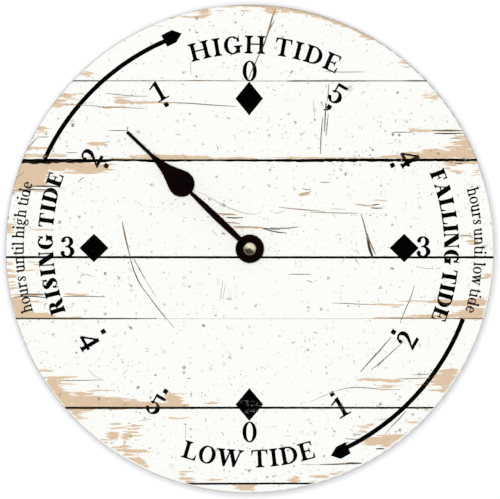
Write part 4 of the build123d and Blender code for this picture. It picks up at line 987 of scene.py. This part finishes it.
# Scratches: tone, ink, and each stroke's widest width and the pixels along it
SCRATCHES = [
    ("dark", DARK_INK, [
        (1.6, (266.5, 36), (264.5, 43), (261.5, 50)),
        (1.0, (262, 49), (258.5, 56), (255, 64), (251, 72.5), (248.4, 79)),
        (1.2, (130.3, 258), (133, 268), (138, 280), (144.5, 291)),
        (2.7, (366.6, 233), (368, 241.6), (369.6, 248.6), (371.8, 255), (373, 258)),
        (1.1, (325.6, 103), (325.4, 112), (325.2, 120)), (2.0, (323.6, 110), (326, 109.6), (328.6, 110)),
        (1.2, (262, 228.2), (269, 230.2), (278, 232.2), (287, 233)),
        (1.0, (262, 228), (272, 229), (280, 229.4)), (1.3, (226, 217.5), (234, 217.9), (243, 217.6)),
        (1.1, (371, 205.8), (375, 204.8), (379.5, 204.2)), (1.2, (371, 207.8), (376, 208.2), (383, 208)),
        (1.0, (391, 427), (395, 423), (398.5, 419.5)), (1.5, (376, 448.9), (380, 448.7), (384.5, 448.9)),
        (1.3, (320, 464.6), (335, 464.2), (348, 463.7), (361, 463.4)),
        (1.9, (346, 463.6), (353, 463.4), (361.5, 463.2)), (1.2, (432, 130.3), (447, 130.5), (462, 130.9)),
        (1.4, (434, 133.3), (446, 133.6), (464, 133.2)), (1.0, (455, 163.4), (460, 163.6), (463, 163.2)),
        (1.6, (29, 186.2), (45, 186.2), (60, 186.6)), (1.1, (13, 189.8), (30, 189.6), (47, 189.6)),
        (1.2, (14, 297.2), (30, 296.2), (47, 297.8)), (1.1, (22, 294.6), (36, 294.2), (50, 294.4)),
    ]),
    ("grey", GREY_INK, [
        (0.9, (328.8, 84), (328.2, 93), (327, 102)), (1.0, (328.3, 114), (327.2, 124), (326, 136)),
        (1.2, (322.6, 117), (321.6, 130), (320.8, 141), (320.4, 154)),
        (1.1, (144.5, 290), (152, 300.5), (160, 311), (167, 319.5)),
        (1.1, (133.4, 258.5), (140, 270), (145, 279)),
        (1.0, (414.5, 285), (410.5, 298), (405.6, 309), (400, 323)),
        (1.3, (391, 337), (381, 349), (370, 361), (360.4, 372)),
        (1.0, (405, 340), (392, 352), (382, 361), (371, 370)),
        (1.1, (406, 411), (398.5, 419.5), (391, 427)), (1.1, (63, 296.6), (80, 296.2), (105, 296.8)),
        (0.9, (392, 132.3), (402, 132.2), (412, 132.2)), (0.9, (450, 138.4), (455, 138.2), (461, 138.4)),
        (1.2, (270, 227.9), (285, 228.3), (298.5, 226.9)), (0.9, (302, 188.4), (306, 189.6), (311, 189.4)),
        (0.8, (320, 182.5), (325, 182.3), (330, 182.3)), (0.8, (60, 380.2), (80, 380.4), (103, 379.8)),
        (0.9, (37.4, 137.2), (43, 137), (48.6, 137)), (1.0, (37.5, 137.4), (33, 142), (28, 149)),
        (0.8, (77.5, 182.6), (81, 179.5), (84, 177)), (0.8, (416, 374.6), (424, 374.2), (431, 373.6)),
        (0.8, (105, 93.4), (118, 94.6), (132, 96), (148, 96.2)),
        (0.9, (109, 130.4), (118, 130.6), (127, 130.6)), (0.8, (126.8, 126), (127.4, 129), (127.5, 131)),
        (0.9, (345, 438.6), (352, 439.2), (359, 439)), (0.8, (354, 434), (358, 434.4), (362, 434)),
        (0.8, (325, 71.5), (340, 72), (352, 72), (365, 71.8)),
    ]),
    ("brown", BROWN_INK, [
        (0.9, (396, 379), (412, 378.6), (430, 378.1)),
        (1.7, (275.6, 8.6), (272.5, 17), (269.6, 27), (266.6, 37), (264, 44)),
        (1.0, (274.6, 20.4), (271.6, 25.6), (268.4, 32)),
        (1.5, (326.6, 103), (325.5, 112), (325, 121), (324.2, 132)),
        (1.1, (217, 213.4), (226, 214.2), (237, 215)), (1.1, (226, 222.4), (233, 222.7), (240, 223.8)),
        (1.1, (234, 226), (242, 226.8), (255, 227.2), (263, 227.9)),
        (1.0, (279, 207.3), (290, 208.4), (302, 209.6), (312, 210.5), (325, 211.6)),
        (0.9, (310, 212.2), (330, 212.8), (345, 213.1), (358, 213.3)),
        (0.8, (355, 204), (363, 205), (370, 206.4)),
        (1.5, (361, 213.3), (363.1, 221), (365.2, 228.6), (366.9, 236), (368.2, 242)),
        (1.5, (367, 233), (369.2, 240), (371.4, 245.4), (373.4, 250), (375.5, 254.6)),
        (1.7, (122.2, 221.6), (123.6, 229), (125.4, 237.4), (127.4, 246), (130.2, 257)),
        (0.9, (80, 105.2), (95, 106), (105, 107.6), (120, 107), (133, 107.9), (145, 108.6)),
        (1.1, (160, 102.2), (190, 103.4), (212, 105), (236, 106.4)),
        (0.9, (336, 391), (345, 388.6), (357, 387.4), (370, 388.2), (384, 389.5), (400, 389.6)),
        (0.9, (332, 303), (345, 303.4), (360, 304.2), (376, 304.5)),
        (1.0, (289, 274.2), (300, 274.3), (311, 274.2)), (0.8, (66, 153), (72, 152.6), (78, 153)),
        (0.9, (16, 178), (20, 175), (24, 172)), (0.9, (459, 235.2), (467, 235.5), (473.5, 238)),
        (1.1, (300, 195.6), (305, 193.2), (311, 191.6)), (0.9, (384, 360), (380, 363.5), (377, 367)),
    ]),
    ("pale", PALE_INK, [
        (1.0, (193, 190), (203, 194), (212, 199), (221, 204), (231, 208.6), (241, 212.2), (250, 214),
         (256.5, 213.8), (262, 210.6)),
        (1.0, (145, 279), (150, 287), (156, 297)), (1.2, (167, 319), (171, 324), (174.4, 328.6)),
        (1.1, (391, 427), (388, 431), (384.5, 434.4)), (0.9, (310, 402), (322, 396.5), (336, 391)),
        (0.9, (330, 208.8), (338, 209.1), (346, 209.4)), (1.0, (274, 213), (280, 212.6), (285.4, 210.2)),
        (1.0, (417, 266.9), (425, 268.3), (433, 268.8)), (0.9, (436, 268.6), (439, 268), (441, 267.2)),
        (0.9, (301, 464.4), (310, 464.6), (320, 464.6)), (0.9, (313.4, 100), (313.8, 109), (314.6, 119)),
        (0.9, (191, 62), (190.6, 68), (191.4, 75)), (0.9, (186, 425), (185.6, 432), (185.2, 440)),
        (0.9, (212, 230.6), (215, 233), (217.5, 236.5)), (0.9, (223, 280), (221.5, 291), (219.5, 301)),
        (0.8, (225.5, 283), (224, 292), (222, 299)), (0.9, (80, 273), (88, 274.8), (94, 276.8)),
        (0.9, (88, 369), (94, 375.5), (101, 379)),
    ]),
]

def tapered(width, count):
    """Widths along a scratch, which is thin at its ends."""
    return [width * (0.25 + 0.75 * math.sin(math.pi * (i + 0.35) / (count - 0.3))) for i in range(count)]


for number, (tone, tone_ink, strokes) in enumerate(SCRATCHES):
    outlines = []
    for width, *points in strokes:
        places = [on_dial(*point) for point in points]
        outlines.append(brush(places, [w * PIXEL for w in tapered(width, len(points))], steps=6))
    printed("scratches_" + tone, outlines, SCRATCH_LAYER + SCRATCH_STEP * number, tone_ink)


# Fine marks: short hairlines all over, grey flecks, and scuffs on the black print
def short_stroke(pick, u, v, length, width, bearing):
    """A short, slightly bent stroke round a pixel."""
    turn = math.radians(bearing)
    along = Vector((math.cos(turn), math.sin(turn))) * length / 2
    bend = Vector((-along.y, along.x)) * pick.uniform(-0.3, 0.3)
    middle = Vector((u, v))
    places = [on_dial(*point) for point in (middle - along, middle + bend, middle + along)]
    return brush(places, [width * 0.4 * PIXEL, width * PIXEL, width * 0.4 * PIXEL], steps=2)


# Hairlines: tone, ink, count, seed and layer
HAIRLINE_MARGIN = 8
HAIRLINES = [
    ("grey", GREY_INK, 60, 11, GREY_HAIRLINE_LAYER),
    ("pale", PALE_INK, 260, 12, PALE_HAIRLINE_LAYER),
]
for tone, tone_ink, count, seed, layer in HAIRLINES:
    pick = random.Random(seed)
    outlines = []
    for _ in range(count):
        radius = (PRINT_RADIUS_PX - HAIRLINE_MARGIN) * math.sqrt(pick.random())
        u, v = at_bearing(radius, pick.uniform(0, 360))
        length = 1.2 + 6 * pick.random() ** 2.5
        outlines.append(short_stroke(pick, u, v, length, pick.uniform(0.45, 0.85), pick.uniform(0, 180)))
    printed("hairlines_" + tone, outlines, layer, tone_ink)

# Flecks as (u, v, size), each of a few strokes
STROKES_TO_A_FLECK = 4
FLECKS = [
    (131, 327.5, 3.4), (292, 71.5, 3.2), (155, 375.3, 2.6), (392, 268.8, 3), (397.5, 92, 2.4),
    (294.6, 122, 3), (345, 174, 3.4), (270, 170, 2), (76.5, 353, 2.4), (122.8, 362, 2),
    (315, 119.5, 2.4), (324, 456, 2.4), (267, 476.5, 2.4), (58, 119, 2), (67, 146, 1.8),
    (185, 424, 2.4), (381, 186, 2.4), (231, 55.5, 1.8), (132, 95, 1.6), (76, 341, 2),
]
pick = random.Random(21)
outlines = []
for u, v, size in FLECKS:
    spread = size * 0.35
    for _ in range(STROKES_TO_A_FLECK):
        spot_u = u + pick.uniform(-spread, spread)
        spot_v = v + pick.uniform(-spread, spread)
        length = size * pick.uniform(0.5, 1.0)
        outlines.append(short_stroke(pick, spot_u, spot_v, length, size * 0.42, pick.uniform(0, 180)))
printed("flecks", outlines, FLECK_LAYER, FLECK_INK)

# Scuffs as (lowest u, lowest v, highest u, highest v, strokes)
SCUFFS = [
    (240, 400.5, 262, 406, 20), (243, 409.5, 258, 413, 14), (339, 403, 346, 412, 7), (40, 154, 46, 158, 4),
]
pick = random.Random(23)
outlines = []
for low_u, low_v, high_u, high_v, count in SCUFFS:
    for _ in range(count):
        u = pick.uniform(low_u, high_u)
        v = pick.uniform(low_v, high_v)
        length = pick.uniform(1.0, 4.0)
        outlines.append(short_stroke(pick, u, v, length, pick.uniform(0.3, 0.6), pick.uniform(-35, 35)))
printed("scuffs", outlines, SCUFF_LAYER, GREY_INK)

# Materials of the working parts
TOOL_MARK_PITCH = 0.12 * MM
WIRE_PITCH = 0.14 * MM


def moulded(name, colour, shade, rough, relief, translucent=0.0):
    """Moulded plastic with a fine eroded texture and faint flow marks."""
    made, tree = material(name)
    flow = grain(tree, (60, 60, 25), 3.0, 0.6, 0.6)
    fine = grain(tree, (3800, 3800, 3800), 2.0)
    return finished(
        made,
        Base_Color=mix(tree, between(tree, flow, 0.35, 0.65), colour, shade),
        Roughness=between(tree, fine, 0.3, 0.7, rough - 0.08, rough + 0.1),
        Normal=bump(tree, plus(tree, fine, times(tree, flow, 0.6)), relief * MM),
        Subsurface_Weight=translucent,
        Subsurface_Radius=(0.6 * MM, 0.5 * MM, 0.4 * MM),
    )


def sheet_metal(name, colour, shade, rough, along=(80, 4000, 4000)):
    """Rolled or stamped sheet with fine drawn lines."""
    made, tree = material(name)
    lines = grain(tree, along, 4.0, 0.65)
    cloud = grain(tree, (160, 160, 160), 3.0)
    return finished(
        made,
        Base_Color=mix(tree, between(tree, cloud, 0.3, 0.7), colour, shade),
        Roughness=between(tree, lines, 0.25, 0.75, rough - 0.1, rough + 0.14),
        Normal=bump(tree, lines, 0.01 * MM, 0.6),
        Metallic=1.0,
    )


def turned_metal(name, colour, shade, edge_shade_colour, centre, edge):
    """Polished turned metal, its tool marks in rings round the shaft, with painted shade darkening it near
    its edge.
    """
    made, tree = material(name)
    local = vector_node(tree, "SUBTRACT", place_of(tree), (centre.x, 0, centre.z))
    radius = vector_node(tree, "LENGTH", vector_node(tree, "MULTIPLY", local, (1, 0, 1)), out=1)
    rings = sine(tree, times(tree, radius, 2 * math.pi / TOOL_MARK_PITCH))
    cloud = grain(tree, (500, 500, 500), 3.0)
    tint = mix(tree, between(tree, cloud, 0.3, 0.7), colour, shade)
    return finished(
        made,
        # Painted shade: the colour darkens towards the edge of the dome
        Base_Color=mix(tree, between(tree, radius, 0.72 * edge, 0.93 * edge, 0, 0.85), tint, edge_shade_colour),
        Roughness=between(tree, cloud, 0.3, 0.7, 0.11, 0.24),
        Normal=bump(tree, rings, 0.002 * MM, 0.5),
        Metallic=1.0,
    )


def painted_hand(name):
    """Satin black paint with a warm cast and a faint orange peel."""
    made, tree = material(name)
    cloud = grain(tree, (55, 55, 55), 4.0)
    return finished(
        made,
        Base_Color=mix(tree, between(tree, cloud, 0.4, 0.66), (3, 1, 1), (18, 6, 5)),
        Roughness=between(tree, cloud, 0.3, 0.7, 0.36, 0.5),
        Normal=bump(tree, grain(tree, (2600, 2600, 2600), 2.0), 0.01 * MM, 0.5),
        Specular_IOR_Level=0.035,
    )


def wound_wire(name):
    """Enamelled wire laid side by side along the coil, with painted shade in the grooves between turns and a
    painted highlight on their crests.
    """
    made, tree = material(name)
    turns = sine(tree, times(tree, split(tree, place_of(tree))[0], 2 * math.pi / WIRE_PITCH))
    cloud = grain(tree, (400, 400, 400), 3.0)
    # Painted shade and highlight: dark copper in each groove, bright copper on each crest
    colour = mix(tree, between(tree, turns, -1, 1), (120, 48, 18), (214, 112, 52))
    return finished(
        made,
        Base_Color=mix(tree, between(tree, cloud, 0.5, 0.8), colour, (90, 34, 14)),
        Roughness=between(tree, cloud, 0.3, 0.7, 0.22, 0.36),
        Normal=bump(tree, turns, 0.04 * MM),
        Metallic=0.7,
    )


def etched_board(name):
    """Green solder resist over copper tracks."""
    made, tree = material(name)
    place = vector_node(tree, "MULTIPLY", place_of(tree), (420, 0, 420))
    squares = {"distance": "CHEBYCHEV", "feature": "DISTANCE_TO_EDGE"}
    cell = node(tree, "ShaderNodeTexVoronoi", named={"Vector": place, "Scale": 1.0}, **squares).node
    tracks = between(tree, cell.outputs["Distance"], 0.1, 0.16)
    weave = grain(tree, (1800, 1800, 1800), 2.0)
    colour = mix(tree, tracks, (44, 128, 70), (14, 84, 44))
    return finished(
        made,
        Base_Color=mix(tree, between(tree, weave, 0.4, 0.8, 0, 0.4), colour, (8, 52, 28)),
        Roughness=between(tree, weave, 0.3, 0.7, 0.22, 0.38),
        Normal=bump(tree, tracks, 0.03 * MM, 0.6),
    )


def sleeve(name):
    """Plain battery sleeve: grey-blue with a pale band and a plus and a minus at its ends."""
    made, tree = material(name)
    low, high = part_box("battery_can")
    across, _, height = split(tree, place_of(tree))
    colour = mix(tree, above(tree, across, high.x - 13 * MM), (52, 70, 98), (198, 202, 206))
    length, width = 1.7 * MM, 0.42 * MM
    signs = [(high.x - 6 * MM, True, (28, 32, 40)), (low.x + 6 * MM, False, (226, 228, 230))]
    for sign_x, upright, sign_colour in signs:
        dx = distance_to(tree, minus(tree, across, sign_x))
        dz = distance_to(tree, minus(tree, height, (low.z + high.z) / 2))
        mark = times(tree, below(tree, dx, length), below(tree, dz, width))
        if upright:
            mark = most(tree, mark, times(tree, below(tree, dx, width), below(tree, dz, length)))
        colour = mix(tree, mark, colour, sign_colour)
    scuff = grain(tree, (300, 900, 900), 5.0, 0.7)
    return finished(
        made,
        Base_Color=mix(tree, between(tree, scuff, 0.62, 0.75, 0, 0.35), colour, (150, 152, 156)),
        Roughness=between(tree, scuff, 0.3, 0.7, 0.24, 0.42),
        Normal=bump(tree, scuff, 0.01 * MM, 0.4),
        Metallic=0.35,
    )


# Each slot's material: its function, and the colours and the finish that this takes
NUT_LOW, NUT_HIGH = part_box("cap_nut")
NUT_CENTRE = (NUT_LOW + NUT_HIGH) / 2
NUT_RADIUS = (NUT_HIGH[0] - NUT_LOW[0]) / 2
UPRIGHT_LINES = (4000, 4000, 80)
CONTACT_LINES = (4000, 4000, 60)
SLOT_LOOKS = {
    "printed_board": (printed_board,),
    "hand_black": (painted_hand,),
    # The nut's third colour is painted shade for the edge of its dome
    "polished_brass": (turned_metal, (242, 233, 208), (224, 210, 176), (84, 76, 58), NUT_CENTRE, NUT_RADIUS),
    "washer_rubber": (moulded, (26, 26, 26), (36, 35, 34), 0.75, 0.03),
    "hanger_steel": (sheet_metal, (196, 198, 200), (170, 172, 176), 0.34, UPRIGHT_LINES),
    "case_plastic": (moulded, (24, 24, 25), (31, 31, 32), 0.5, 0.03),
    "cover_plastic": (moulded, (30, 30, 31), (38, 38, 39), 0.5, 0.03),
    "bridge_plastic": (moulded, (222, 221, 212), (232, 231, 224), 0.4, 0.015),
    "gear_plastic": (moulded, (236, 233, 222), (226, 222, 208), 0.32, 0.008, 0.2),
    "pinion_plastic": (moulded, (176, 66, 52), (158, 54, 42), 0.32, 0.008),
    "spring_steel": (sheet_metal, (206, 207, 210), (184, 186, 190), 0.22),
    "magnet_grey": (moulded, (104, 104, 108), (88, 88, 92), 0.55, 0.03),
    "motor_iron": (sheet_metal, (186, 186, 182), (160, 160, 158), 0.36),
    "bobbin_plastic": (moulded, (54, 112, 84), (46, 98, 72), 0.36, 0.01),
    "copper_winding": (wound_wire,),
    "board_green": (etched_board,),
    "crystal_can": (sheet_metal, (214, 215, 218), (190, 192, 196), 0.2),
    "chip_resin": (moulded, (16, 16, 17), (24, 24, 25), 0.3, 0.02),
    "contact_nickel": (sheet_metal, (214, 208, 192), (190, 184, 168), 0.24, CONTACT_LINES),
    "battery_sleeve": (sleeve,),
    "battery_steel": (sheet_metal, (206, 206, 206), (180, 180, 182), 0.2),
    "knob_plastic": (moulded, (214, 211, 202), (202, 198, 188), 0.42, 0.02),
}
SLOT_MATERIALS = {slot: make(slot, *values) for slot, (make, *values) in SLOT_LOOKS.items()}
for part in frame["record"]["subparts"]:
    piece = frame["nodes"][part["node"]]
    piece.data.materials.clear()
    piece.data.materials.append(SLOT_MATERIALS[part["material_slot"]])


# Wall behind the clock and floor below it, which are seen only from their front
def stage_plane(name, corners, colour, glow):
    """A pale plane, lifted a little for the camera so that it reads white where it is lit."""
    mesh = bpy.data.meshes.new(name)
    mesh.from_pydata(corners, [], [(0, 1, 2, 3)])
    piece = add_object(name, mesh)
    made, tree = material(name)
    tone = mix(tree, grain(tree, (40, 40, 40), 3.0), colour, tuple(c - 3 for c in colour))
    finished(made, Base_Color=tone, Roughness=0.9, Specular_IOR_Level=0.0)
    lift = node(tree, "ShaderNodeEmission", (1, 1, 1, 1), glow)
    lit = node(tree, "ShaderNodeAddShader", tree.nodes["Principled BSDF"].outputs[0], lift)
    clear = node(tree, "ShaderNodeBsdfTransparent")
    backfacing = node(tree, "ShaderNodeNewGeometry", out=6)
    seen = node(tree, "ShaderNodeMixShader", backfacing, lit, clear)
    put(tree, seen, tree.nodes["Material Output"].inputs["Surface"])
    mesh.materials.append(made)
    piece.visible_shadow = False
    piece.visible_diffuse = False
    piece.visible_glossy = False


STAGE_HALF = 4.0
FLOOR_DROP = 0.5
WALL_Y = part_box("rear_cover")[1].y + 0.3 * MM
FLOOR_Z = cad_bounds[0][2] - FLOOR_DROP
wall_corners = bar(-STAGE_HALF, FLOOR_Z, STAGE_HALF, STAGE_HALF)
stage_plane("wall", [(x, WALL_Y, z) for x, z in wall_corners], (240, 247, 255), 0.14)
floor_corners = bar(-STAGE_HALF, -STAGE_HALF, STAGE_HALF, STAGE_HALF)
stage_plane("floor", [(x, y, FLOOR_Z) for x, y in floor_corners], (190, 190, 190), 0.72)

# Light: a large soft box in front, one behind for the movement, and a pale surround. KEY_LEVEL and
# AMBIENT are shares of full white on the dial, and the rest are metres and watts
KEY_PLACE = (-0.035, -2.6, DIAL_Z + 0.06)
KEY_SIZE = 0.76
KEY_LEVEL = 1.055
AMBIENT = 0.22
REAR_PLACE = (0.5, 2.4, DIAL_Z + 0.7)
REAR_SIZE = 1.9
REAR_POWER = 56


def soft_box(name, place, size, power):
    """A square lamp that faces the dial and is not seen itself."""
    lamp_data = bpy.data.lights.new(name, "AREA")
    lamp_data.shape = "SQUARE"
    lamp_data.size = size
    lamp_data.energy = power
    lamp = add_object(name, lamp_data)
    lamp.location = place
    lamp.rotation_euler = (Vector(DIAL_CENTRE) - Vector(place)).to_track_quat("-Z", "Y").to_euler()
    lamp.visible_camera = False
    return lamp


key_distance = (Vector(KEY_PLACE) - Vector(DIAL_CENTRE)).length
key_power = (KEY_LEVEL - AMBIENT) * (math.pi * key_distance) ** 2
key = soft_box("key", KEY_PLACE, KEY_SIZE, key_power)
key.visible_glossy = False
soft_box("rear", REAR_PLACE, REAR_SIZE, REAR_POWER)


def surround():
    """A world that the camera sees as white, that lights evenly, and that gloss sees as a studio."""
    world = bpy.data.worlds.new("surround")
    bpy.context.scene.world = world
    world.use_nodes = True
    sky = world.node_tree
    sky.nodes.clear()
    ray = sky.nodes.new("ShaderNodeLightPath").outputs
    direction = node(sky, "ShaderNodeTexCoord")
    across, ahead, height = split(sky, direction)
    leaning = times_plus(sky, across, 0.3, height)
    from_axis = vector_node(sky, "LENGTH", vector_node(sky, "MULTIPLY", direction, (1, 0, 1)), out=1)
    centre_dark = between(sky, from_axis, 0.05, 0.45, 0.15, 1.0)
    studio = times(sky, between(sky, leaning, -0.5, 0.45, 0.06, 1.0), centre_dark)
    studio = most(sky, studio, between(sky, ahead, 0.1, 0.5, 0.0, 1.0))
    reflected = between(sky, ray["Is Glossy Ray"], 0.0, 1.0, AMBIENT, studio)
    level = most(sky, most(sky, ray["Is Camera Ray"], ray["Is Transmission Ray"]), reflected)
    background = node(sky, "ShaderNodeBackground", (1, 1, 1, 1), level)
    put(sky, background, sky.nodes.new("ShaderNodeOutputWorld").inputs["Surface"])


surround()
bpy.context.scene.view_settings.view_transform = "Standard"
